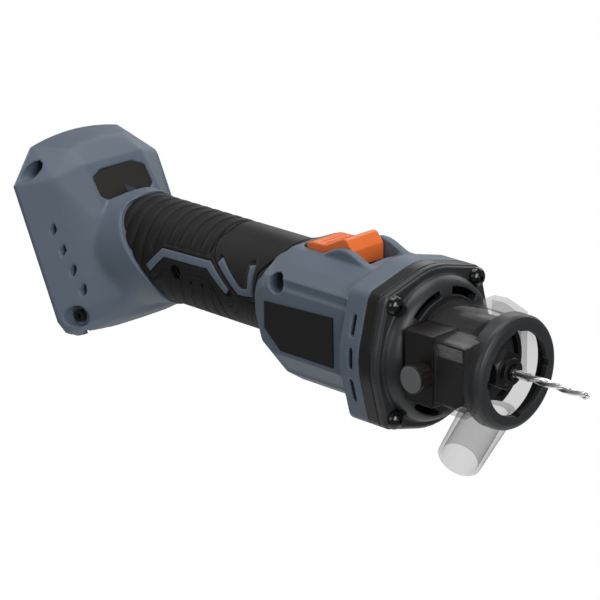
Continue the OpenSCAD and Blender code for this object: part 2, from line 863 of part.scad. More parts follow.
// Power board with its capacitor and six switching parts
module control_board() {
    color(board_green) head_frame() {
        block([-150, -12.5, 1.2], [-104, 12.5, 2.8]);
        for (i = [0:2], m = [-1, 1])
            block([-148 + 9 * i, m * 6.5 - 3.2, 2.79], [-142 + 9 * i, m * 6.5 + 3.2, 4.8]);
        translate([0, 0, 7.1]) rod(4.4, -118, -107, 32);
    }
}

// Three motor leads, through the bulkhead to the power board
lead_holes = [[-9.5, 12], [9.5, 12], [7, 15.1]];
module motor_leads() {
    start = stator_x - winding_w - board_gap - board_t - 0.05;
    color(copper) head_frame() for (p = lead_holes)
        translate([0, p[0], p[1]]) {
            rod(1.2, -107.5, start, 24);
            block([-108, -1.1, 2.85 - p[1]], [-105.8, 1.1, 0]);
        }
}

// Battery leads, from under the power board through the foot to the terminal block
module battery_leads() {
    r = 1.3;
    riser_r = 1.6;
    end_s = 15;
    turn_d = 12;
    turn_x = -foot_back + (turn_d + 0.15 * sin(foot_rake)) / cos(foot_rake);
    turn_s = -(turn_x + foot_back) * sin(foot_rake) - 0.15 * cos(foot_rake);
    color(rubber_black) for (a = [-1, 1]) {
        head_frame() translate([0, a * 8, -0.15]) rod(r, turn_x, -140, 24);
        raked() translate([turn_d, a * 8, turn_s - 2])
            cylinder(r = riser_r, h = end_s + 4 - turn_s, $fn = 24);
        raked() translate([0, a * 8, end_s]) rod(r, pocket_d + 2.9, turn_d, 24);
    }
}

// Insulating block in the pocket, with six blade slots
blade_count = 6;
module terminal_block() {
    color(gloss_black) raked() difference() {
        union() {
            block([1, -21, 9], [pocket_d - 0.1, 21, pocket_top - 0.3]);
            block([pocket_d - 0.2, -14, 12], [pocket_d + 2.9, 14, 27]);
        }
        for (i = [0:blade_count - 1])
            translate([0, -17.5 + i * 7, 0])
                block([0, -1.1, 8], [4.6, 1.1, 26]);
    }
}

// Battery contact blades, each a solid of its own
module contact_blades() {
    color(brass) raked() for (i = [0:blade_count - 1])
        translate([0, -17.5 + i * 7, 0])
            block([1.4, -0.4, 10], [4.6, 0.4, 26]);
}

// Block on the cover that guides and clamps the depth guide
rack_back = block_front + 0.3;
rack_front = rail_tip - 0.8;
rack_low = block_top - 5.6;
rack_top = block_top - 0.8;
rack_t = 0.8;
module clamp_block() {
    color(gloss_black) head_frame() difference() {
        union() {
            block([block_back, -box_y, box_low], [block_front, -10, box_top]);
            block([block_front - 1, -block_y, block_low], [rail_front, -block_in + 3, block_top]);
            block([rail_front - 1, -block_y, rail_tip_low], [rail_tip, -block_in + 3, block_top]);
            block([dome_h + 0.02, -21, box_low + 2], [block_back + 1, -10, box_top - 2]);
        }
        rod(block_in, sleeve_back - guide_back - body_gap, 60, 96);
        rod(neck_r + 0.02, 0, 60, 96);
        rod(shroud_r + body_gap, rail_front, 60, 96);
        rod(ring_r + body_gap, ring_back - guide_back - body_gap, 60, 96);
        block([block_front, -block_y + 5, -30], [60, 0, 30]);
        block([rack_back - 0.1, -block_y - 1, rack_low - 0.1],
              [rack_front + 0.1, -block_y + rack_t, rack_top + 0.1]);
        translate([stud_x, 0, stud_z]) rod_y(stud_r + snug, -60, 0);
    }
}

// Ribbed strip set in the rail
module depth_rack() {
    color(steel) head_frame() difference() {
        block([rack_back, -block_y - 0.1, rack_low], [rack_front, -block_y + rack_t, rack_top]);
        for (i = [0:7])
            translate([rack_back + 1.5 + i * 1.3, -block_y - 0.1, (rack_low + rack_top) / 2])
                rotate([0, 35, 0]) rotate([0, 0, 45]) cube([0.5, 0.5, 12], center = true);
    }
}

// Shaft that carries the rotor, fan and collet
module spindle() {
    color(steel) head_frame() difference() {
        turned([[0, rear_bearing_x], [tail_r, rear_bearing_x],
                [tail_r, rear_bearing_x + rear_bearing_w + 0.4],
                [shaft_r, rear_bearing_x + rear_bearing_w + 0.4],
                [shaft_r, front_bearing_x + front_bearing_w + 0.1],
                [nose_r, front_bearing_x + front_bearing_w + 0.1], [nose_r, nut_back - 0.5],
                [thread_r, nut_back - 0.5], [thread_r, nut_back + 5], [0, nut_back + 5]]);
        rod(3.5, collet_back - 0.5, 60);
    }
}

module rotor_core() {
    color(steel) head_frame() difference() {
        rod(rotor_r - 2.2, stator_x + 0.5, stator_x + stator_len - 0.5, 64);
        rod(shaft_r, stator_x - cut, stator_x + stator_len + cut, 64);
    }
}

// Four arc magnets round the rotor core, each a solid of its own
module rotor_magnets() {
    color(charcoal) head_frame() rotate([0, 90, 0]) for (a = [0:90:270])
        rotate([0, 0, a + 4]) translate([0, 0, stator_x + 0.5])
            rotate_extrude(angle = 82, $fn = 96)
                translate([rotor_r - 2.2, 0]) square([2.2, stator_len - 1]);
}

// Fan with a hub, a back plate and curved-back blades
module cooling_fan() {
    color(gloss_black) head_frame() difference() {
        union() {
            rod(7, fan_x, fan_x + fan_w, 64);
            rod(fan_r - 1, fan_x, fan_x + 1.2, 96);
            for (i = [0:fan_blades - 1])
                rotate([i * 360 / fan_blades, 0, 0]) translate([fan_x, 0, 6]) rotate([20, 0, 0])
                    block([0.6, -0.6, 0], [fan_w - 0.5, 0.6, fan_r - 8.2]);
        }
        rod(shaft_r, fan_x - cut, fan_x + fan_w + cut, 64);
    }
}

// Split collet with a tapered nose
module collet() {
    color(steel) head_frame() difference() {
        turned([[held_r, collet_back], [3.4, collet_back], [3.4, nut_back + 5.5],
                [4.6, nut_back + 6.5], [4.6, nut_front - 3], [3, nut_front - 0.4],
                [3, collet_front], [held_r, collet_front]]);
        for (a = [0, 90])
            rotate([a, 0, 0]) block([nut_back + 4, -0.25, -10], [60, 0.25, 10]);
    }
}

// Bit with a plain shank, two spiral flutes and a pointed tip
module cut_out_bit() {
    flute_len = bit_tip - flute_start - 2;
    color(steel) head_frame() {
        rod(held_r, bit_back, collet_front + 0.7, 48);
        rod(bit_r, collet_front + 0.6, flute_start, 48);
        translate([flute_start, 0, 0]) rotate([0, 90, 0])
            linear_extrude(flute_len, twist = 360 * flute_len / 22, slices = 30) difference() {
                circle(r = bit_r - 0.01, $fn = 24);
                for (a = [0, 180])
                    rotate(a) translate([bit_r + 0.25, 0]) circle(r = 0.85, $fn = 12);
            }
        translate([bit_tip - 2.01, 0, 0]) rotate([0, 90, 0])
            cylinder(r1 = bit_r - 0.5, r2 = 0.15, h = 2, $fn = 24);
    }
}

module collet_nut() {
    color(gloss_black) head_frame() difference() {
        union() {
            intersection() {
                rod(nut_r, nut_back, nut_front - 2, 6);
                turned([[0, nut_back], [nut_r - 0.8, nut_back], [nut_r, nut_back + 0.8],
                        [nut_r, nut_front - 3.2], [nut_r - 1.4, nut_front - 2],
                        [0, nut_front - 2]]);
            }
            turned([[0, nut_front - 2.5], [nut_r - 2.4, nut_front - 2.5],
                    [nut_r - 2.9, nut_front], [0, nut_front]]);
        }
        rod(thread_r + snug, nut_back - cut, nut_back + 5.4);
        rod(4.7, nut_back + 5, nut_front - 2.9);
        turned([[0, nut_front - 3], [4.7, nut_front - 3], [3.1, nut_front - 0.4],
                [3.1, nut_front + cut], [0, nut_front + cut]]);
    }
}

// Profile of the button in the XZ plane: a low rear hump and a high front wedge
button_profile = concat([[-button_back, link_top]],
                        [for (i = [0:6]) let (a = 180 - 15 * i)
                            [-button_back + 6 + 6 * cos(a), 27.4 + 3.9 * sin(a)]],
                        [[-50.7, 31.4], [-48.7, 31.6], [-39.9, button_top - 0.2],
                         [-38.7, button_top], [-37.6, button_top - 0.2], [-button_front, 32],
                         [-button_front, link_top]]);

module switch_button() {
    color(switch_orange) head_frame() difference() {
        intersection() {
            slab_y(-button_w - 1, button_w + 1) polygon(button_profile);
            linear_extrude(50) polygon(slider_plan(button_back + 0.01, button_front - 1, button_w));
        }
        for (i = [0:2])
            translate([-56.1 + 2.6 * i, 0, 31.4]) rotate([90, 0, 0])
                cylinder(r = 0.6, h = 13, center = true, $fn = 16);
    }
}

// Link from the button back to the switch
module switch_link() {
    color(charcoal) head_frame() {
        slab_y(-link_w, link_w)
            polygon([[-post_front, bar_low], [-post_front, link_top], [-post_back, link_top],
                     [-post_back, bar_top], [-leg_back, bar_top], [-leg_back, arm_top],
                     [-hook_back, arm_top], [-hook_back, arm_low], [-leg_front, arm_low],
                     [-leg_front, bar_low]]);
        slab_y(-hook_w, hook_w)
            polygon([[-hook_back, arm_low - 3.4], [-hook_back, arm_low + 1],
                     [-hook_back + 2.5, arm_low + 1], [-hook_back + 2.5, arm_low - 3.4]]);
    }
}

// Ring that rests on the wallboard, with notches in its hole
module foot_ring() {
    color(charcoal) head_frame() difference() {
        turned([[ring_hole_r, ring_back + 4], [shroud_r - 1, ring_back], [ring_r - 0.6, ring_back],
                [ring_r, ring_back + 0.6], [ring_r, guide_reach - 2.2],
                [ring_r - 0.7, guide_reach - 0.8], [ring_r - 2.4, guide_reach],
                [ring_hole_r, guide_reach]]);
        rod(shroud_r + snug, ring_back - cut, shroud_front, 96);
        for (a = [0:3])
            rotate([a * 90, 0, 0]) block([ring_back, -1.6, ring_hole_r - 3],
                                         [guide_reach + cut, 1.6, ring_hole_r + 0.9]);
    }
}

module port_frame() {
    translate([port_x, 0, 0]) rotate([0, 180 + port_angle, 0]) children();
}

// Clear box over the rail, which reaches forward beside the ring
module near_box() {
    difference() {
        block([near_box_back, -box_y, box_low], [near_box_front, 0, box_top]);
        rod(ring_r + 0.2, ring_back - 0.1, 80, 96);
        block([near_box_back + 5, -box_y + box_wall, box_low + box_wall],
              [near_box_front - box_wall, -shroud_r - 0.4, box_top - box_wall]);
        block([ring_back - 3, -box_y + box_wall, box_low + box_wall],
              [near_box_front - box_wall, -8, box_top - box_wall]);
    }
}

// Clear shroud: a tube with a box on each side and the root of the port
module shroud() {
    far_box = [[8, box_low], [8, box_top + 0.8], [14.5, box_top + 1.3],
               [far_box_front, box_top - 1.8], [far_box_front, box_low]];
    far_hollow = [[4, box_low + box_wall], [4, box_top - 0.6], [14.5, box_top - 0.3],
                  [far_box_front - box_wall, box_top - 3.2],
                  [far_box_front - box_wall, box_low + box_wall]];
    color(smoke) head_frame() difference() {
        union() {
            rod(shroud_r, shroud_back, shroud_front - snug, 96);
            near_box();
            slab_y(0, box_y) polygon(far_box);
        }
        rod(shroud_in, 0, 60, 96);
        block([near_box_back - cut, -box_y + box_wall, box_low + box_wall],
              [ring_back - box_wall, 0, box_top - box_wall]);
        slab_y(10, box_y - box_wall) polygon(far_hollow);
        block([0, -40, box_low - 0.3], [near_box_back, -8, box_top + 0.3]);
        port_frame() cylinder(r = port_stop_r, h = 60, $fn = 64);
    }
}

// Black sleeve that slides on the neck and carries the shroud
module guide_sleeve() {
    color(gloss_black) head_frame() difference() {
        union() {
            rod(sleeve_out, sleeve_back, sleeve_front, 96);
            difference() {
                rod(shroud_in, sleeve_front - 5, sleeve_front, 96);
                block([0, -40, box_low], [60, -8, box_top]);
            }
        }
        rod(sleeve_in, sleeve_back - cut, sleeve_front + cut, 96);
        port_frame() cylinder(r = port_stop_r, h = 60, $fn = 64);
    }
}

// Clear port for dust, cut to the shroud and the ring
module dust_port() {
    color(smoke) head_frame() difference() {
        port_frame() cylinder(r1 = port_root_r + 0.55, r2 = port_r, h = port_len, $fn = 96);
        port_frame() translate([0, 0, -cut]) cylinder(r = port_stop_r, h = port_len, $fn = 96);
        port_frame() translate([0, 0, port_len - port_seat])
            cylinder(r = port_bore_r, h = port_seat + cut, $fn = 96);
        rod(shroud_r + 0.02, -10, 80, 96);
        rod(ring_r + 0.2, ring_back - 0.2, 80, 96);
        block([-10, -40, -10], [80, 40, 40]);
    }
}

// Fluted knob with a plain face
module clamp_knob() {
    flutes = 14;
    face_y = -knob_y - knob_len;
    color(charcoal) head_frame() translate([stud_x, 0, stud_z]) difference() {
        union() {
            rod_y(knob_r, face_y, face_y + 1.4, 64);
            rod_y(knob_r - 0.5, face_y + 1, -knob_y, 64);
        }
        for (i = [0:flutes - 1])
            rotate([0, i * 360 / flutes, 0]) translate([knob_r, 0, 0])
                rod_y(0.8, face_y + 1.9, -knob_y + cut, 16);
        rod_y(stud_r, face_y + 2.4, 0);
    }
}

module clamp_stud() {
    color(steel) head_frame() translate([stud_x, 0, stud_z])
        rod_y(stud_r, -knob_y - knob_len + 2.5, -sleeve_out - 0.35);
}

right_shell();
left_shell();
right_grip();
left_grip();
right_band();
left_band();
collar_ring();
badge_plate();
label_plate();
spacer_plate();
front_cover();
cover_screws();
shell_screws();
stator_core();
stator_windings();
sensor_board();
rear_bearing();
front_bearing();
main_switch();
control_board();
motor_leads();
battery_leads();
terminal_block();
contact_blades();
clamp_block();
depth_rack();
spindle();
rotor_core();
rotor_magnets();
cooling_fan();
collet();
cut_out_bit();
collet_nut();
switch_button();
switch_link();
foot_ring();
shroud();
guide_sleeve();
dust_port();
clamp_knob();
clamp_stud();
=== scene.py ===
import math

import bmesh
import bpy
import numpy as np
from mathutils import Matrix, Vector


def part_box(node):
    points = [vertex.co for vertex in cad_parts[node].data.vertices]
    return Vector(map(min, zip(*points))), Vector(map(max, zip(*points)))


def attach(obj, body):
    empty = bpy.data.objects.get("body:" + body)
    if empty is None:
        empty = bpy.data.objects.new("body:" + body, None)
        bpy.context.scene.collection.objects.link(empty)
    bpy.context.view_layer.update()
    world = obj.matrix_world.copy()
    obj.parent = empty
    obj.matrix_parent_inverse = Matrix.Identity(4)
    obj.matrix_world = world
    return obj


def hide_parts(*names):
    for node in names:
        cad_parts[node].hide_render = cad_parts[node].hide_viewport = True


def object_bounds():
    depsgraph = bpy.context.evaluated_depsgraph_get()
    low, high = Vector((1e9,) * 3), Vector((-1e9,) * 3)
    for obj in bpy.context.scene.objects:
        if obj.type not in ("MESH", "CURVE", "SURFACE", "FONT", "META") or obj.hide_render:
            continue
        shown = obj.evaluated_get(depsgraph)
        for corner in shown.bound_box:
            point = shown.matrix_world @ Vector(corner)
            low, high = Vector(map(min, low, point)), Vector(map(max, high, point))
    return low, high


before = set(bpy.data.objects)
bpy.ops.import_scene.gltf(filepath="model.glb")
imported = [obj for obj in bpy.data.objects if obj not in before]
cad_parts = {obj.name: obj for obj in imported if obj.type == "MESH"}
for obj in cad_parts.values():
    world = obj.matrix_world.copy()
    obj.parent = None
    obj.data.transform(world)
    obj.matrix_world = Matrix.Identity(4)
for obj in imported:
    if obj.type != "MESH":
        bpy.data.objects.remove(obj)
cad_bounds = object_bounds()

# Sizes are in millimetres in the head's own frame: X = 0 in the rim plane of the front cover,
# the spindle along X, Z up. place() turns them into the frame's metres.
MM = 0.001
RIM_T = 3.6
RIM_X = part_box("spacer_plate")[1].x + RIM_T * MM

# The foot's rear face leans by RAKE and meets the spindle's axis at BACK_X
BACK_X = -186.2
RAKE = math.radians(25)

# Round the grip: the rubber, the core under it, the collar and the lip of the foot
GRIP_R = 20.2
GRIP_Z = 6.7
TOP = GRIP_Z + GRIP_R
BOTTOM = GRIP_Z - GRIP_R
CORE_R = 17.2
SKIN_BACK_R = CORE_R + 0.1
COLLAR_R = 21.2
LIP_R = 20.8
GRIP_SCREW = (-121.8, 6.7)

# Lines on the side of the grip, as X and Z, from the top down
ENTRY = ((-158.6, 27.4), (-160.4, 25.2), (-159, 21.6), (-153.3, 14.5), (-145.4, 6.4),
         (-139.6, -0.3), (-137, -4.4), (-135.4, -8.5), (-135.4, -14))
COLLAR_REAR = ((-68.2, 27.4), (-68.6, 26.2), (-69.1, 24), (-71.7, 20.9), (-74.9, 17.4),
               (-76.1, 15.1), (-75.4, 12.1), (-74.8, 6.7), (-75, -14))
COLLAR_FRONT = ((-63.9, 27.4), (-65.5, 26.2), (-66, 22.9), (-67.6, 19.3), (-71.9, 15.5),
                (-73.3, 13), (-73.5, 9), (-73.5, -14))
SEAM = ((-102.8, 27.4), (-102.9, 26), (-103.8, 23.2), (-103.4, 20), (-101.6, 16.4),
        (-98, 13.7), (-89.8, 7.6), (-86.3, 5.5), (-77, 3.9))
SEAM_END = 3.9
SEAM_REAR = ((-104, 27.4), (-104.4, 26.5), (-105.3, 24.5), (-105.9, 21.5), (-105.4, 18.7),
             (-104, 16), (-100.4, 13.5), (-94.8, 9.2), (-91, 6.3))
PATCH_SEAM = ((-102.6, 6.9), (-100.6, 5.4), (-97.6, 2.1), (-96.8, -2.3), (-97.6, -8.8),
              (-98.4, -13.4))

# Lines on the side of the grip, as X and Z, from the rear to the front
STRIPE_REAR = ((-138.1, 4.8), (-129.9, 12.9), (-103.4, 13.6), (-92, 5.4))
STRIPE_FRONT = ((-98.1, 16.5), (-85.2, 7.2), (-79.2, 7.6), (-80.8, 18))
ISLAND_LOW = ((-141, 0.4), (-135.4, 0.4), (-128.4, 6.2), (-127, 6.4), (-106.6, 7.6),
              (-102.6, 6.9))

# The tool's right is at -Y and its left at +Y
SIDES = (("right", -1), ("left", 1))


def place(points):
    """Points in millimetres, head frame, as points of the frame in metres."""
    points = np.asarray(points, float).reshape(-1, 3) * MM
    points[:, 0] += RIM_X
    return points


# Curves
def ease(value, low, high):
    """Rises smoothly from 0 at low to 1 at high."""
    t = np.clip((value - low) / (high - low), 0, 1)
    return t * t * (3 - 2 * t)


def groove(distance, half_width, depth):
    return -depth * (1 - ease(distance, 0, half_width))


def x_at(line, z):
    """X, at the heights z, of a line that runs from the top down."""
    return np.interp(z, [point[1] for point in line[::-1]], [point[0] for point in line[::-1]])


def z_at(line, x):
    """Z, at the places x, of a line that runs from the rear to the front."""
    return np.interp(x, [point[0] for point in line], [point[1] for point in line])


def line_x(line, z):
    """X of a line at the heights z, smoothed over its corners."""
    return np.mean([x_at(line, z + offset) for offset in np.linspace(-0.9, 0.9, 7)], axis=0)


def away_from(line, x, z):
    """Distance of the points (x, z) from a line of X and Z."""
    best = np.full(np.shape(x), 1e9)
    for (ax, az), (bx, bz) in zip(line[:-1], line[1:]):
        dx, dz = bx - ax, bz - az
        t = np.clip(((x - ax) * dx + (z - az) * dz) / (dx * dx + dz * dz), 0, 1)
        best = np.minimum(best, np.hypot(x - ax - t * dx, z - az - t * dz))
    return best


# Shader maths
class Sock:
    """A socket that adds Math nodes when it is used in a Python expression."""

    def __init__(self, finish, socket):
        self.finish = finish
        self.socket = socket

    def _math(self, operation, a, b):
        return self.finish.node("ShaderNodeMath", {"operation": operation}, {0: a, 1: b})

    def __add__(self, other):
        return self._math("ADD", self, other)

    __radd__ = __add__

    def __sub__(self, other):
        return self._math("SUBTRACT", self, other)

    def __rsub__(self, other):
        return self._math("SUBTRACT", other, self)

    def __mul__(self, other):
        return self._math("MULTIPLY", self, other)

    __rmul__ = __mul__

    def __pow__(self, other):
        return self._math("POWER", self, other)


def shade(colour, factor):
    return tuple(min(1.0, c * factor) for c in colour)


class Finish:
    """One material: a Principled shader and the nodes that feed it."""

    def __init__(self, name, **constants):
        self.material = bpy.data.materials.new(name)
        self.material.use_nodes = True
        self.tree = self.material.node_tree
        self.shader = self.tree.nodes["Principled BSDF"]
        for socket, value in constants.items():
            self.shader.inputs[socket.replace("_", " ")].default_value = value

    def node(self, kind, settings=None, inputs=None, output=0):
        made = self.tree.nodes.new(kind)
        for key, value in (settings or {}).items():
            setattr(made, key, value)
        for key, value in (inputs or {}).items():
            if isinstance(value, Sock):
                self.tree.links.new(value.socket, made.inputs[key])
            else:
                made.inputs[key].default_value = value
        return Sock(self, made.outputs[output])

    def feed(self, socket, value):
        self.tree.links.new(value.socket, self.shader.inputs[socket])

    def place(self):
        return self.node("ShaderNodeTexCoord", output="Object")

    def noise(self, scale, detail, rough=0.5, stretch=None):
        vector = self.place()
        if stretch:
            vector = self.node("ShaderNodeMapping", None, {"Vector": vector, "Scale": stretch})
        return self.node("ShaderNodeTexNoise", None,
                         {"Vector": vector, "Scale": scale, "Detail": detail, "Roughness": rough})

    def mix(self, mask, low, high):
        return self.node("ShaderNodeMix", {"data_type": "RGBA"},
                         {0: mask, 6: (*low, 1), 7: (*high, 1)}, output=2)

    def tint(self, mask, colour, low, high):
        """Base colour between a darker and a lighter shade of one colour."""
        self.feed("Base Color", self.mix(mask, shade(colour, low), shade(colour, high)))

    def sheen(self, mask, rough, span):
        """Roughness that wanders over a span about its middle value."""
        self.feed("Roughness", mask * span + (rough - span / 2))

    def bump(self, height, depth):
        self.feed("Normal", self.node("ShaderNodeBump", None,
                                      {"Height": height, "Distance": depth, "Strength": 1.0}))


def moulded(name, colour, rough, grain=0.00004, size=2600, spread=0.08, **constants):
    """Moulded plastic: a spark-eroded grain, faint cloudiness and an uneven sheen."""
    finish = Finish(name, **constants)
    cloud = finish.noise(scale=55, detail=3)
    finish.tint(cloud, colour, 1 - spread, 1 + spread)
    fine = finish.noise(scale=size, detail=2, rough=0.6)
    finish.sheen(fine, rough, span=0.1)
    finish.bump(fine, grain)
    return finish.material


def soft_rubber(name, colour, rough, grain, **constants):
    """Matt rubber with a fine skin and faint rubbed patches."""
    finish = Finish(name, **constants)
    wear = finish.noise(scale=38, detail=4, rough=0.6)
    finish.tint(wear, colour, 0.85, 1.25)
    skin = finish.noise(scale=1900, detail=3, rough=0.65)
    finish.sheen(wear, rough, span=0.12)
    finish.bump(skin, grain)
    return finish.material


def ground_steel(name, colour, rough, stretch=(1, 1, 1), size=900):
    """Bare metal with fine grinding marks."""
    finish = Finish(name, Metallic=1.0)
    marks = finish.noise(scale=size, detail=3, rough=0.6, stretch=stretch)
    finish.tint(marks, colour, 0.8, 1.1)
    finish.sheen(marks, rough, span=0.18)
    finish.bump(marks, 0.00001)
    return finish.material


def wound_copper():
    """Enamelled wire: fine parallel turns."""
    finish = Finish("wound_copper", Metallic=1.0)
    turns = finish.node("ShaderNodeTexWave", {"wave_type": "BANDS", "bands_direction": "X"},
                        {"Vector": finish.place(), "Scale": 400.0, "Distortion": 0.6},
                        output="Fac")
    finish.feed("Base Color", finish.mix(turns, (0.35, 0.12, 0.05), (0.72, 0.33, 0.16)))
    finish.feed("Roughness", turns * 0.2 + 0.25)
    finish.bump(turns, 0.0001)
    return finish.material


def circuit_board():
    """Solder mask over faint tracks."""
    finish = Finish("circuit_board")
    tracks = finish.node("ShaderNodeTexBrick", {"offset": 0.5},
                         {"Vector": finish.place(), "Scale": 180.0}, output="Fac")
    finish.feed("Base Color", finish.mix(tracks, (0.015, 0.1, 0.04), (0.02, 0.16, 0.07)))
    finish.feed("Roughness", tracks * 0.15 + 0.3)
    finish.bump(tracks, 0.00002)
    return finish.material


def clear_plastic(name, colour, face_alpha, rim_alpha=0.8, rough=0.06):
    """Smoked clear plastic: clearer where it faces the eye, with a sharp gloss."""
    finish = Finish(name, IOR=1.49, Specular_IOR_Level=0.22)
    haze = finish.noise(scale=26, detail=2)
    rim = finish.node("ShaderNodeLayerWeight", None, {"Blend": 0.35}, output="Facing")
    finish.tint(haze, colour, 0.92, 1.08)
    finish.feed("Roughness", haze * 0.05 + rough)
    finish.feed("Alpha", (rim ** 2.6) * (rim_alpha - face_alpha) + face_alpha)
    return finish.material


SLATE = (0.087, 0.111, 0.145)
MATERIALS = {
    "casing": moulded("slate_plastic", SLATE, 0.48, Specular_IOR_Level=0.4),
    "rubber": soft_rubber("grip_rubber", (0.007, 0.0068, 0.0066), 0.56, grain=0.00006,
                          Specular_IOR_Level=0.22),
    "smooth_rubber": soft_rubber("band_rubber", (0.009, 0.0087, 0.0085), 0.42, grain=0.00002,
                                 Specular_IOR_Level=0.28),
    "band": moulded("black_plastic", (0.0095, 0.0084, 0.0076), 0.36, grain=0.00001, size=2000,
                    Specular_IOR_Level=0.35),
    "plate": moulded("badge_plastic", (0.0155, 0.0138, 0.0125), 0.45, grain=0.00002,
                     Specular_IOR_Level=0.35),
    "label": moulded("label_film", (0.0095, 0.009, 0.0085), 0.34, grain=0.000004, size=700,
                     Specular_IOR_Level=0.35),
    "cover": moulded("charcoal_plastic", (0.02, 0.021, 0.0225), 0.42, grain=0.00003,
                     Specular_IOR_Level=0.45),
    "black_steel": moulded("black_screw_coat", (0.004, 0.004, 0.004), 0.16, grain=0.000006,
                           size=1200),
    "nut_steel": moulded("black_nut_coat", (0.006, 0.006, 0.0062), 0.42, grain=0.000006,
                         size=1200, Specular_IOR_Level=0.3),
    "steel": ground_steel("ground_steel", (0.62, 0.61, 0.6), 0.3),
    "bit": ground_steel("bit_steel", (0.8, 0.78, 0.77), 0.26, stretch=(0.1, 1, 1), size=1500),
    "copper": wound_copper(),
    "board": circuit_board(),
    "lead": soft_rubber("lead_sheath", (0.02, 0.02, 0.02), 0.5, grain=0.00001),
    "brass": ground_steel("contact_brass", (0.78, 0.56, 0.25), 0.32),
    "magnet": ground_steel("magnet_ferrite", (0.12, 0.12, 0.13), 0.5),
    "button": moulded("orange_plastic", (0.72, 0.15, 0.03), 0.36, grain=0.00002, size=2200,
                      spread=0.04, Specular_IOR_Level=0.4),
    "clear": clear_plastic("smoked_clear", (0.055, 0.055, 0.055), face_alpha=0.2),
    "knob_face": moulded("knob_face_plastic", (0.1, 0.105, 0.11), 0.45, grain=0.00002),
}


# Mesh helpers
def circle(sides):
    """Angles of the corners of a round outline."""
    return np.linspace(0, 2 * math.pi, sides, endpoint=False)


def new_object(name, mesh, material):
    thing = bpy.data.objects.new(name, mesh)
    bpy.context.scene.collection.objects.link(thing)
    mesh.materials.clear()
    mesh.materials.append(MATERIALS[material])
    return thing


def smooth_faces(mesh, angle=None):
    mesh.polygons.foreach_set("use_smooth", [True] * len(mesh.polygons))
    if angle is not None:
        mesh.set_sharp_from_angle(angle=math.radians(angle))
    mesh.update()


def settle(thing):
    """Replaces the object's mesh by what its modifiers make of it."""
    bpy.context.view_layer.update()
    graph = bpy.context.evaluated_depsgraph_get()
    made = bpy.data.meshes.new_from_object(thing.evaluated_get(graph))
    thing.modifiers.clear()
    thing.data = made


def ride(thing, body, slot, *nodes):
    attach(thing, body)
    if nodes:
        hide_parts(*nodes)


def surface(name, points, faces, material):
    mesh = bpy.data.meshes.new(name)
    mesh.from_pydata([tuple(point) for point in place(points)], [], faces)
    mesh.update()
    return new_object(name, mesh, material)


def solid(name, points, faces, material):
    """A closed form, with all its faces turned outward."""
    thing = surface(name, points, faces, material)
    work = bmesh.new()
    work.from_mesh(thing.data)
    bmesh.ops.recalc_face_normals(work, faces=work.faces)
    work.to_mesh(thing.data)
    work.free()
    return thing


def grid_solid(name, outer, inner, material, ring=False):
    """A plate from two grids of points, rows by columns, joined round their edges.

    In a ring the last row is also joined to the first.
    """
    rows, columns = outer.shape[:2]
    count = rows * columns
    points = np.concatenate([outer.reshape(-1, 3), inner.reshape(-1, 3)])
    faces = []
    for i in range(rows if ring else rows - 1):
        for j in range(columns - 1):
            a, b = i * columns + j, ((i + 1) % rows) * columns + j
            faces.append((a, a + 1, b + 1, b))
            faces.append((count + a, count + b, count + b + 1, count + a + 1))
        for j in (0, columns - 1):
            a, b = i * columns + j, ((i + 1) % rows) * columns + j
            side = (a, b, count + b, count + a)
            faces.append(side if j == 0 else side[::-1])
    if not ring:
        for j in range(columns - 1):
            for i in (0, rows - 1):
                a = i * columns + j
                side = (a, count + a, count + a + 1, a + 1)
                faces.append(side if i == 0 else side[::-1])
    return solid(name, points, faces, material)


def bead(name, path, radius, material, sides=10):
    """A round bead along a closed path of points."""
    count = len(path)
    turn = circle(sides)
    rings = []
    for i in range(count):
        along = path[(i + 1) % count] - path[i - 1]
        along /= np.linalg.norm(along)
        out = np.cross(along, (1.0, 0.0, 0.0))
        out /= np.linalg.norm(out)
        up = np.cross(along, out)
        rings.append(path[i] + radius * (np.outer(np.cos(turn), out) + np.outer(np.sin(turn), up)))
    faces = []
    for i in range(count):
        a, b = i * sides, ((i + 1) % count) * sides
        for j in range(sides):
            k = (j + 1) % sides
            faces.append((a + j, b + j, b + k, a + k))
    thing = surface(name, np.concatenate(rings), faces, material)
    smooth_faces(thing.data)
    return thing


def from_node(name, node, material):
    """A copy of a CAD node's mesh, welded, that can be worked on."""
    mesh = bpy.data.meshes.new(name)
    work = bmesh.new()
    work.from_mesh(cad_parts[node].data)
    bmesh.ops.remove_doubles(work, verts=work.verts, dist=2e-6)
    work.to_mesh(mesh)
    work.free()
    return new_object(name, mesh, material)


def join_forms(thing, tools, operation):
    for tool in tools:
        work = thing.modifiers.new("form", "BOOLEAN")
        work.object = tool
        work.operation = operation
        work.solver = "EXACT"


def wear_round(thing, rounds, group=""):
    """Rounds the form's edges, or only those of a vertex group."""
    work = thing.modifiers.new("round", "SMOOTH")
    work.factor = 0.5
    work.iterations = rounds
    work.vertex_group = group


def round_skin(thing, voxel, rounds):
    """An even skin of small faces over the whole form, with its edges worn round."""
    work = thing.modifiers.new("skin", "REMESH")
    work.mode = "VOXEL"
    work.voxel_size = voxel * MM
    wear_round(thing, rounds)


def thin_out(thing, keep):
    """Keeps a share of the faces."""
    work = thing.modifiers.new("thin", "DECIMATE")
    work.ratio = keep


def softened(name, node, material, voxel, rounds, keep):
    """A CAD node with the rounded edges of a moulding."""
    thing = from_node(name, node, material)
    round_skin(thing, voxel, rounds)
    thin_out(thing, keep)
    settle(thing)
    smooth_faces(thing.data)
    return thing


def drop(things):
    for thing in things:
        bpy.data.objects.remove(thing)


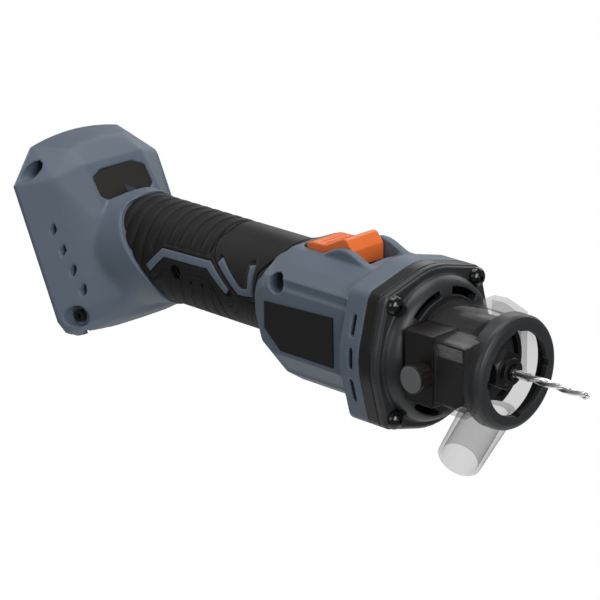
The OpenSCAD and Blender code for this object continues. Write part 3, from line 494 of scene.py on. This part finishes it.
def wedge(name, low_face, high_face, material="casing"):
    """A closed form between two outlines of the same number of points."""
    count = len(low_face)
    faces = [tuple(range(count))[::-1], tuple(range(count, 2 * count))]
    for i in range(count):
        k = (i + 1) % count
        faces.append((i, k, count + k, count + i))
    return solid(name, list(low_face) + list(high_face), faces, material)


def lathe(name, profile, place_ring, material, sides=64):
    """A turned form: profile holds radius and distance, place_ring puts them in space."""
    turn = circle(sides)
    points = np.concatenate([place_ring(radius * np.cos(turn), radius * np.sin(turn), along)
                             for radius, along in profile])
    faces = [tuple(range(sides))[::-1], tuple(range(len(points) - sides, len(points)))]
    for i in range(len(profile) - 1):
        a, b = i * sides, (i + 1) * sides
        for j in range(sides):
            k = (j + 1) % sides
            faces.append((a + j, a + k, b + k, b + j))
    thing = solid(name, points, faces, material)
    smooth_faces(thing.data, 40)
    return thing


# Casing, with the foot, the housing, the cheeks and the vented band
LEDGE_REAR, LEDGE_FRONT = -58, -20.2
LEDGE_TOP, LEDGE_LOW = -18.2, -18.9
LEDGE_TOP_Y, LEDGE_LOW_Y, LEDGE_OUT_Y = 19.9, 19.7, 23.5

LINK_ROOM_X, LINK_ROOM_DEPTH = -62, 2.8
LINK_ROOM_Y = 3.7
LINK_ROOM_LOW, LINK_ROOM_HIGH = 15.2, 22

# Where the wide rounding of the foot's front sets in and where it is full: from the rear face,
# from the grip's axis and behind the line where the grip enters. The badge is left out of it,
# over the width and the heights that the last three pairs give.
ROUND_DEPTH = (12, 16)
ROUND_OFF_AXIS = (19, 20.4)
ROUND_BEHIND_ENTRY = (1.2, 3.5)
FOOT_FRONT_X = -110
BADGE_Y = (16, 18)
BADGE_LOW = (8.5, 11.5)
BADGE_HIGH = (32.5, 35)
WEIGHT_LEVELS = 10
FILLET_ROUNDS = 90

ON_PARTING_PLANE = 0.002 * MM
PAST_PARTING_PLANE = 0.3 * MM


def ledge_cuts():
    """The dark line along the lower ledge of the housing, on both sides."""
    cuts = []
    for _, sign in SIDES:
        outline = np.array([(0, sign * LEDGE_OUT_Y, LEDGE_TOP), (0, sign * LEDGE_TOP_Y, LEDGE_TOP),
                            (0, sign * LEDGE_LOW_Y, LEDGE_LOW), (0, sign * LEDGE_OUT_Y, LEDGE_LOW)])
        cuts.append(wedge("ledge_tool", outline + (LEDGE_REAR, 0, 0),
                          outline + (LEDGE_FRONT, 0, 0)))
    return cuts


def link_room():
    """Room for the switch link behind the front screw boss."""
    rear = np.array([(LINK_ROOM_X, -LINK_ROOM_Y, LINK_ROOM_LOW),
                     (LINK_ROOM_X, LINK_ROOM_Y, LINK_ROOM_LOW),
                     (LINK_ROOM_X, LINK_ROOM_Y, LINK_ROOM_HIGH),
                     (LINK_ROOM_X, -LINK_ROOM_Y, LINK_ROOM_HIGH)])
    return wedge("link_room_tool", rear, rear + (LINK_ROOM_DEPTH, 0, 0))


def casing_blank(side, sign):
    """A casing half that reaches a little past the parting plane, so that both halves join."""
    blank = from_node(side + "_blank", side + "_shell", "casing")
    for vertex in blank.data.vertices:
        if abs(vertex.co.y) < ON_PARTING_PLANE:
            vertex.co.y = -sign * PAST_PARTING_PLANE
    return blank


def mark_foot_front(thing, group_name):
    """Marks the front of the foot and its neck, where the moulding's edges are widely rounded."""
    mesh = thing.data
    points = np.empty(len(mesh.vertices) * 3)
    mesh.vertices.foreach_get("co", points)
    points = points.reshape(-1, 3) / MM
    x, y, z = points[:, 0] - RIM_X / MM, points[:, 1], points[:, 2]
    c, s = math.cos(RAKE), math.sin(RAKE)
    depth = (x - BACK_X) * c + z * s
    height = -(x - BACK_X) * s + z * c
    off_axis = np.hypot(y, z - GRIP_Z)
    weight = ease(depth, *ROUND_DEPTH) * ease(off_axis, *ROUND_OFF_AXIS) * (x < FOOT_FRONT_X)
    weight *= ease(line_x(ENTRY, z) - x, *ROUND_BEHIND_ENTRY)
    badge = (1 - ease(np.abs(y), *BADGE_Y)) * ease(height, *BADGE_LOW)
    weight *= 1 - badge * (1 - ease(height, *BADGE_HIGH))
    group = thing.vertex_groups.new(name=group_name)
    for level in range(1, WEIGHT_LEVELS + 1):
        chosen = np.nonzero(np.round(weight * WEIGHT_LEVELS) == level)[0]
        group.add(chosen.tolist(), level / WEIGHT_LEVELS, "REPLACE")


def part_casing(whole, side, sign):
    """One half of the rounded casing, closed at the parting plane."""
    mesh = whole.data.copy()
    mesh.name = side + "_casing"
    work = bmesh.new()
    work.from_mesh(mesh)
    bmesh.ops.bisect_plane(work, geom=work.verts[:] + work.edges[:] + work.faces[:],
                           plane_co=(0, 0, 0), plane_no=(0, 1, 0),
                           clear_outer=sign < 0, clear_inner=sign > 0)
    rim = [edge for edge in work.edges if edge.is_boundary]
    bmesh.ops.triangle_fill(work, edges=rim, normal=(0, -sign, 0))
    work.to_mesh(mesh)
    work.free()
    half = new_object(side + "_casing", mesh, "casing")
    smooth_faces(mesh, 60)
    ride(half, "casing", "casing", side + "_shell")


def casing_halves():
    """Both halves rounded as one body, so that no groove shows between them, then parted."""
    whole, other = (casing_blank(side, sign) for side, sign in SIDES)
    cuts = ledge_cuts() + [link_room()]
    join_forms(whole, [other], "UNION")
    join_forms(whole, cuts, "DIFFERENCE")
    round_skin(whole, voxel=0.5, rounds=4)
    settle(whole)
    mark_foot_front(whole, "foot_front")
    wear_round(whole, FILLET_ROUNDS, "foot_front")
    thin_out(whole, 0.4)
    settle(whole)
    for side, sign in SIDES:
        part_casing(whole, side, sign)
    drop([whole, other] + cuts)


# Rubber of the grip: ribs, grooves and dimples
RIB_PITCH = 6.1
RIB_FIRST = -105.3
RIB_SWELL = 0.16

# Ribs below the island, each with its X at LOW_RIB_TOP and its X LOW_RIB_FALL further down
LOW_RIBS = ((-133.6, -135.4), (-126, -128.6), (-119.4, -122.2), (-113, -116.4),
            (-106.6, -110), (-101.4, -103.4))
LOW_RIB_TOP = 5
LOW_RIB_FALL = 14
ISLAND_RIM = 3.4

PATCH_PITCH = 2.7
PATCH_SWELL = 0.2
PATCH_TOP = PATCH_SEAM[0][1]
DIMPLES = ((-92.2, 2.2), (-91.4, -0.6), (-90.2, -3.4))

CHANNEL_HALF_W = 1.6
CHANNEL_DEPTH = 0.8


def upper_ribs(x):
    """Broad ribs over the top of the grip, with a groove between each two."""
    phase = (x - RIB_FIRST) / RIB_PITCH
    near = np.abs(phase - np.round(phase)) * RIB_PITCH
    swell = RIB_SWELL * np.cos(2 * math.pi * (phase - 0.5))
    return swell + groove(near, half_width=1.3, depth=0.8)


def low_ribs(x, z):
    """Leaning grooves on the lower part of the grip."""
    fall = np.clip((LOW_RIB_TOP - z) / LOW_RIB_FALL, 0, 1.2) ** 1.5
    height = np.zeros_like(x)
    for top_x, low_x in LOW_RIBS:
        lean = top_x - (top_x - low_x) * fall
        height += groove(np.abs(x - lean), half_width=1.1, depth=0.9)
    return height


def rib_height(x, z):
    """Height of the ribbed rubber, with the plain island round the rear stripe."""
    from_stripe = away_from(STRIPE_REAR, x, z)
    above = z > z_at(STRIPE_REAR, x)
    upper = upper_ribs(x) * ease(from_stripe, 2.2, 5)
    low = low_ribs(x, z) * ease(z_at(ISLAND_LOW, x) - z, 1.4, 3.2)
    height = np.where(above, upper, low)
    height += groove(away_from(ISLAND_LOW, x, z), half_width=0.5, depth=0.45)
    from_rim = np.where(above, np.abs(from_stripe - ISLAND_RIM), 9)
    return height + groove(from_rim, half_width=0.6, depth=0.22)


def patch_height(x, z):
    """Fine slanted ribs and three dimples under the front stripe."""
    phase = (x - 0.5 * z) / PATCH_PITCH
    height = PATCH_SWELL * np.cos(2 * math.pi * phase) * ease(4.2 - z, 0, 2) * ease(x, -93.5, -91)
    for dimple_x, dimple_z in DIMPLES:
        from_dimple = np.hypot(x - dimple_x, z - dimple_z)
        height = np.minimum(height, groove(from_dimple, half_width=0.7, depth=0.6))
    return height


def stripe_channel(x, z):
    """The channel in the rubber that a stripe sits in."""
    near = np.minimum(away_from(STRIPE_REAR, x, z), away_from(STRIPE_FRONT, x, z))
    return -CHANNEL_DEPTH * (1 - ease(near, CHANNEL_HALF_W - 0.2, CHANNEL_HALF_W + 0.5))


def grip_height(x, z):
    """Height of the whole ribbed skin over the grip's radius."""
    patch = (x > x_at(PATCH_SEAM, z)) & (z < PATCH_TOP)
    height = np.where(patch, patch_height(x, z), rib_height(x, z))
    height += groove(away_from(PATCH_SEAM, x, z), half_width=0.6, depth=0.7)
    height += groove(away_from(SEAM[1:], x, z), half_width=0.8, depth=0.6)
    height += groove(away_from(SEAM_REAR, x, z), half_width=0.6, depth=0.5)
    return height + stripe_channel(x, z)


# Grip pieces: skins, bands, stripes, collar and lip
ROW_STEP = 0.4
ENTRY_GAP = 0.2
COLLAR_GAP = 0.15

STRIPE_REAR_W = (3.1, 3.2, 3.2, 2.7)
STRIPE_FRONT_W = (2.9, 2.8, 2.4, 1.9)
STRIPE_STEP = 0.7
STRIPE_SINK = 0.22
STRIPE_SPREAD = np.array([-1, -0.96, -0.85, -0.6, -0.2, 0.2, 0.6, 0.85, 0.96, 1]) / 2
STRIPE_CROWN = 0.42 * np.array([0, 0.55, 0.9, 1, 1, 1, 1, 0.9, 0.55, 0])

COLLAR_SHARE = np.array([0, 0.04, 0.12, 0.3, 0.6, 0.85, 1])
COLLAR_CROWN = np.array([-1.3, -0.4, -0.05, 0, 0, 0, 0])


def on_grip(x, turn, radius, side):
    """Points round the grip: turn is the angle from the top, towards that side."""
    return np.stack([x, side * radius * np.sin(turn), GRIP_Z + radius * np.cos(turn)], axis=-1)


def grip_rows(low_z, high_z):
    """Angles from the top whose heights lie between two values."""
    first = math.acos(min(1, (high_z - GRIP_Z) / GRIP_R))
    last = math.acos(max(-1, (low_z - GRIP_Z) / GRIP_R))
    return np.linspace(first, last, max(2, int((last - first) * GRIP_R / ROW_STEP)))


def rows_between(start, end, share):
    """A grid of X, one row per angle, at shares of the way from start to end."""
    return start[:, None] + (end - start)[:, None] * share


def along_rows(values, count):
    """A grid that repeats each row's value along the row."""
    return np.repeat(values[:, None], count, axis=1)


def grip_skin(side, sign):
    """The ribbed rubber, from the foot to the seam and, below the seam's end, to the collar."""
    columns = 300
    turn = np.concatenate([grip_rows(SEAM_END + 0.05, TOP), grip_rows(BOTTOM, SEAM_END)])
    z = GRIP_Z + GRIP_R * np.cos(turn)
    start = line_x(ENTRY, z) + ENTRY_GAP
    end = np.where(z > SEAM_END, line_x(SEAM, z), line_x(COLLAR_REAR, z)) - COLLAR_GAP
    x = rows_between(start, end, np.linspace(0, 1, columns))
    turns = along_rows(turn, columns)
    height = grip_height(x, along_rows(z, columns))
    height -= 0.5 * (1 - ease(x - start[:, None], 0, 1.0))
    skin = grid_solid(side + "_ribbed_grip", on_grip(x, turns, GRIP_R + height, sign),
                      on_grip(x, turns, SKIN_BACK_R, sign), "rubber")
    if sign < 0:
        cut_grip_well(skin)
    smooth_faces(skin.data, 40)
    ride(skin, "casing", "rubber", side + "_grip")


def cut_grip_well(skin, radius=2.9, outer_y=-30, inner_y=-12, sides=40):
    """The round well of the screw in the right side of the grip."""
    turn = circle(sides)
    ring = np.stack([GRIP_SCREW[0] + radius * np.cos(turn), np.zeros(sides),
                     GRIP_SCREW[1] + radius * np.sin(turn)], axis=-1)
    well = wedge("grip_well_tool", ring + (0, outer_y, 0), ring + (0, inner_y, 0))
    join_forms(skin, [well], "DIFFERENCE")
    settle(skin)
    drop([well])


def front_band(side, sign):
    """The smooth rubber in front of the seam, with its front edge rolled in at the collar."""
    columns = 110
    turn = grip_rows(SEAM_END + 0.1, TOP)
    z = GRIP_Z + GRIP_R * np.cos(turn)
    start = line_x(SEAM, z) + 0.3
    end = np.maximum(line_x(COLLAR_REAR, z) - COLLAR_GAP, start + 0.5)
    x = rows_between(start, end, np.linspace(0, 1, columns))
    turns, zs = along_rows(turn, columns), along_rows(z, columns)
    height = stripe_channel(x, zs)
    height += groove(away_from(SEAM[1:], x, zs), half_width=0.9, depth=0.5)
    height -= 1.1 * (1 - ease(end[:, None] - x, 0.2, 1.3))
    skin = grid_solid(side + "_smooth_band", on_grip(x, turns, GRIP_R + 0.05 + height, sign),
                      on_grip(x, turns, SKIN_BACK_R, sign), "smooth_rubber")
    smooth_faces(skin.data, 40)
    ride(skin, "casing", "rubber", side + "_band")


def across_path(path, i):
    """The direction across a bent path at its point i, lengthened at a bend."""
    last = len(path) - 1
    ahead = path[min(i + 1, last)] - path[min(i, last - 1)]
    behind = path[max(i, 1)] - path[max(i - 1, 0)]
    ahead, behind = ahead / np.linalg.norm(ahead), behind / np.linalg.norm(behind)
    along = (ahead + behind) / np.linalg.norm(ahead + behind)
    across = np.array([-along[1], along[0]])
    return across / max(0.5, across @ np.array([-ahead[1], ahead[0]]))


def stripe_bar(name, path, sign, widths):
    """A flat bar with rounded edges that follows a bent path on the side of the grip."""
    path = [np.array(point) for point in path]
    edges = [across_path(path, i) * width for i, width in enumerate(widths)]
    rows = []
    for i in range(len(path) - 1):
        steps = max(2, int(np.linalg.norm(path[i + 1] - path[i]) / STRIPE_STEP))
        for k in range(steps + (i == len(path) - 2)):
            t = k / steps
            centre = path[i] * (1 - t) + path[i + 1] * t
            rows.append(centre + np.outer(STRIPE_SPREAD, edges[i] * (1 - t) + edges[i + 1] * t))
    flat = np.array(rows)
    crown = np.ones(len(flat))
    crown[0] = crown[-1] = 0.3
    radius = GRIP_R - STRIPE_SINK + STRIPE_CROWN[None, :] * crown[:, None]
    turn = np.arccos(np.clip((flat[:, :, 1] - GRIP_Z) / GRIP_R, -1, 1))
    bar = grid_solid(name, on_grip(flat[:, :, 0], turn, radius, sign),
                     on_grip(flat[:, :, 0], turn, CORE_R, sign), "casing")
    smooth_faces(bar.data, 50)
    ride(bar, "casing", "casing")


def collar():
    """The kinked rubber ring between the band and the housing."""
    turn = circle(240)
    z = GRIP_Z + COLLAR_R * np.cos(turn)
    x = rows_between(line_x(COLLAR_REAR, z) + 0.1, line_x(COLLAR_FRONT, z) + 0.5, COLLAR_SHARE)
    turns = along_rows(turn, len(COLLAR_SHARE))
    ring = grid_solid("kinked_collar", on_grip(x, turns, COLLAR_R + COLLAR_CROWN, 1),
                      on_grip(x, turns, SKIN_BACK_R, 1), "rubber", ring=True)
    smooth_faces(ring.data, 50)
    ride(ring, "casing", "rubber", "collar_ring")


def entry_lip():
    """The thin lip of the casing round the rubber, where the grip enters the foot."""
    turn = circle(200)
    z = GRIP_Z + LIP_R * np.cos(turn)
    lip = bead("foot_lip", on_grip(line_x(ENTRY, z) - 0.45, turn, LIP_R, 1), 0.55, "casing")
    ride(lip, "casing", "casing")


def grip_pieces():
    for side, sign in SIDES:
        grip_skin(side, sign)
        front_band(side, sign)
        stripe_bar(side + "_rear_stripe", STRIPE_REAR, sign, STRIPE_REAR_W)
        stripe_bar(side + "_front_stripe", STRIPE_FRONT, sign, STRIPE_FRONT_W)
    collar()
    entry_lip()


# Head, guide and small parts. Each softened piece has its name, its CAD node, the body it
# rides on, its material, its slot, the size of its faces, its smoothing and the share kept.
SOFTENED = (
    ("cover_shell", "front_cover", "casing", "cover", "cover", 0.35, 3, 0.4),
    ("spacer", "spacer_plate", "casing", "band", "band", 0.35, 2, 0.4),
    ("rail_block", "clamp_block", "casing", "band", "band", 0.3, 2, 0.4),
    ("badge", "badge_plate", "casing", "plate", "plate", 0.25, 2, 0.4),
    ("slide_button", "switch_button", "button", "button", "button", 0.3, 7, 0.5),
    ("guide_foot", "foot_ring", "depth_guide", "cover", "cover", 0.3, 2, 0.4),
    ("hex_nut", "collet_nut", "nut", "nut_steel", "black_steel", 0.2, 2, 0.4),
    ("fluted_knob", "clamp_knob", "knob", "band", "cover", 0.15, 2, 0.4),
)

KNOB_X, KNOB_Z, KNOB_FACE = 17.5, 0.5, -32.3
KNOB_CAP = ((5.0, 0.5), (5.05, -0.02), (4.95, -0.1), (4.6, -0.14), (2.0, -0.14), (0.3, -0.14))

BIT_R = 1.6
BIT_BACK = 29.0
BIT_TIP = 74.9
BIT_SIDES = 48
FLUTE_X = 46.4
FLUTE_PITCH = 22.0
FLUTE_STEPS = 260
MARK_REAR, MARK_FRONT = 39.9, 40.4
MARK_DEPTH = 0.15
MARK_EDGE = 0.05

RIDGES = 9
RIDGE_DEPTH = 0.3


def softened_pieces():
    for name, node, body, material, slot, voxel, rounds, keep in SOFTENED:
        ride(softened(name, node, material, voxel, rounds, keep), body, slot, node)


def knob_cap():
    """The plain grey face set in the end of the clamp knob."""
    def on_face(u, v, along):
        return np.stack([KNOB_X + u, KNOB_FACE + along + 0 * u, KNOB_Z + v], axis=-1)

    ride(lathe("knob_cap", KNOB_CAP, on_face, "knob_face"), "knob", "cover")


def bit_radius(x, turn):
    """Radius of the bit, one row per station: shank, turned mark, flutes and point."""
    phase = turn[None, :] - 2 * math.pi * (x[:, None] - FLUTE_X) / FLUTE_PITCH
    dip = ((1 + np.cos(2 * phase)) / 2) ** 1.6
    mark = MARK_DEPTH * ((x > MARK_REAR) & (x < MARK_FRONT))
    core = BIT_R - mark - 1.35 * ease(x, BIT_TIP - 2.2, BIT_TIP + 0.3)
    depth = 0.5 * ease(x, FLUTE_X, FLUTE_X + 2.6)
    return core[:, None] * (1 - depth[:, None] * dip)


def spiral_bit():
    """The bit: plain shank, two spiral flutes and a point."""
    mark = [edge + offset for edge in (MARK_REAR, MARK_FRONT)
            for offset in (-MARK_EDGE, 0, MARK_EDGE)]
    x = np.concatenate([np.linspace(BIT_BACK, MARK_REAR - 0.1, 4), mark,
                        np.linspace(MARK_FRONT + 0.6, FLUTE_X, 6),
                        np.linspace(FLUTE_X + 0.2, BIT_TIP - 0.05, FLUTE_STEPS)])
    turn = circle(BIT_SIDES)
    radius = bit_radius(x, turn)
    points = np.stack([along_rows(x, BIT_SIDES), radius * np.sin(turn), radius * np.cos(turn)],
                      axis=-1)
    last = (len(x) - 1) * BIT_SIDES
    faces = [tuple(range(BIT_SIDES)), tuple(range(last, last + BIT_SIDES))[::-1]]
    for a in range(0, last, BIT_SIDES):
        b = a + BIT_SIDES
        for j in range(BIT_SIDES):
            k = (j + 1) % BIT_SIDES
            faces.append((a + j, b + j, b + k, a + k))
    thing = solid("spiral_bit", points.reshape(-1, 3), faces, "bit")
    smooth_faces(thing.data, 42)
    ride(thing, "spindle_group", "steel", "cut_out_bit")


def ridged_rack():
    """The depth rack, a steel strip with fine ridges along it."""
    low, high = (np.array(corner) / MM - (RIM_X / MM, 0, 0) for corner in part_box("depth_rack"))
    z = np.linspace(low[2], high[2], 2 * RIDGES + 1)
    y = np.where(np.arange(len(z)) % 2, low[1], low[1] + RIDGE_DEPTH)
    outline = np.concatenate([np.stack([0 * y, y, z], axis=-1),
                              [(0, high[1], high[2]), (0, high[1], low[2])]])
    strip = wedge("ridged_rack", outline + (low[0], 0, 0), outline + (high[0], 0, 0), "bit")
    ride(strip, "casing", "steel", "depth_rack")


def head_pieces():
    softened_pieces()
    knob_cap()
    spiral_bit()
    ridged_rack()


# CAD nodes that keep their own shape
NODE_FINISH = {
    "label_plate": "label", "cover_screws": "black_steel", "shell_screws": "black_steel",
    "stator_core": "steel", "stator_windings": "copper", "sensor_board": "board",
    "rear_bearing": "steel", "front_bearing": "steel", "main_switch": "band",
    "control_board": "board", "motor_leads": "lead", "battery_leads": "lead",
    "terminal_block": "band", "contact_blades": "brass",
    "spindle": "steel", "rotor_core": "steel", "rotor_magnets": "magnet",
    "cooling_fan": "band", "collet": "nut_steel",
    "switch_link": "band", "shroud": "clear", "guide_sleeve": "band", "dust_port": "clear",
    "clamp_stud": "steel",
}


def dress_nodes():
    for node, material in NODE_FINISH.items():
        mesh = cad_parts[node].data
        mesh.materials.clear()
        mesh.materials.append(MATERIALS[material])


# Floor, lights and camera, in metres in the frame
FLOOR_DROP = 0.35
FLOOR_X = (-0.5, 0.3)
FLOOR_Y = (-0.4, 0.4)

# Each light's place, its width and height, and its power in watts
LIGHTS = {
    "top_light": ((-0.25, 0.1, 1.3), (1.2, 0.9), 12),
    "front_light": ((1.4, -0.4, 0.6), (0.9, 0.9), 17),
    "side_light": ((-0.2, -1.5, 0.55), (0.8, 0.8), 5),
    "back_light": ((-0.6, 1.4, 0.7), (1.4, 1.0), 8),
    "rear_light": ((-1.6, -0.1, 0.4), (0.8, 0.8), 5),
}
LIGHT_AIM = (-0.1, 0, 0)
ROOM_GLOW = 0.2

# The camera's place, and the directions of the picture's right and down
CAMERA_AT = (0.63393, -0.74272, 0.37028)
CAMERA_RIGHT = (0.70788, 0.70624, -0.01135)
CAMERA_DOWN = (0.22567, -0.24136, -0.94383)
CAMERA_LENS = 170.58
CAMERA_SENSOR = 36


def plain_floor():
    low = cad_bounds[0].z - FLOOR_DROP
    mesh = bpy.data.meshes.new("floor")
    corners = [(FLOOR_X[i], FLOOR_Y[j], low) for i, j in ((0, 0), (1, 0), (1, 1), (0, 1))]
    mesh.from_pydata(corners, [], [(0, 1, 2, 3)])
    thing = bpy.data.objects.new("floor", mesh)
    bpy.context.scene.collection.objects.link(thing)
    finish = Finish("floor_paint", Roughness=0.9)
    mottle = finish.noise(scale=3, detail=2)
    finish.feed("Base Color", finish.mix(mottle, (0.78, 0.78, 0.78), (0.81, 0.81, 0.81)))
    mesh.materials.append(finish.material)


def soft_light(name, where, size, power):
    light = bpy.data.lights.new(name, "AREA")
    light.shape = "RECTANGLE"
    light.size, light.size_y = size
    light.energy = power
    thing = bpy.data.objects.new(name, light)
    thing.location = where
    aim = Vector(LIGHT_AIM) - Vector(where)
    thing.rotation_euler = aim.to_track_quat("-Z", "Y").to_euler()
    bpy.context.scene.collection.objects.link(thing)


def white_room():
    """A world that the camera sees white and that lights the object only dimly."""
    world = bpy.data.worlds.new("studio")
    world.use_nodes = True
    nodes, links = world.node_tree.nodes, world.node_tree.links
    seen = nodes.new("ShaderNodeLightPath")
    white = nodes["Background"]
    white.inputs["Color"].default_value = (1, 1, 1, 1)
    dim = nodes.new("ShaderNodeBackground")
    dim.inputs["Color"].default_value = (0.94, 0.97, 1, 1)
    dim.inputs["Strength"].default_value = ROOM_GLOW
    mix = nodes.new("ShaderNodeMixShader")
    links.new(seen.outputs["Is Camera Ray"], mix.inputs[0])
    links.new(dim.outputs[0], mix.inputs[1])
    links.new(white.outputs[0], mix.inputs[2])
    links.new(mix.outputs[0], nodes["World Output"].inputs[0])
    bpy.context.scene.world = world


def studio():
    for name, (where, size, power) in LIGHTS.items():
        soft_light(name, where, size, power)
    white_room()
    bpy.context.scene.view_settings.view_transform = "Standard"


def photo_camera():
    camera = bpy.data.cameras.new("camera")
    camera.sensor_width = CAMERA_SENSOR
    camera.lens = CAMERA_LENS
    right = Vector(CAMERA_RIGHT).normalized()
    back = right.cross(-Vector(CAMERA_DOWN)).normalized()
    up = back.cross(right)
    thing = bpy.data.objects.new("camera", camera)
    turn = Matrix((right, up, back)).transposed().to_4x4()
    thing.matrix_world = Matrix.Translation(CAMERA_AT) @ turn
    bpy.context.scene.collection.objects.link(thing)
    bpy.context.scene.camera = thing


photo_camera()
casing_halves()
grip_pieces()
head_pieces()
dress_nodes()
plain_floor()
studio()
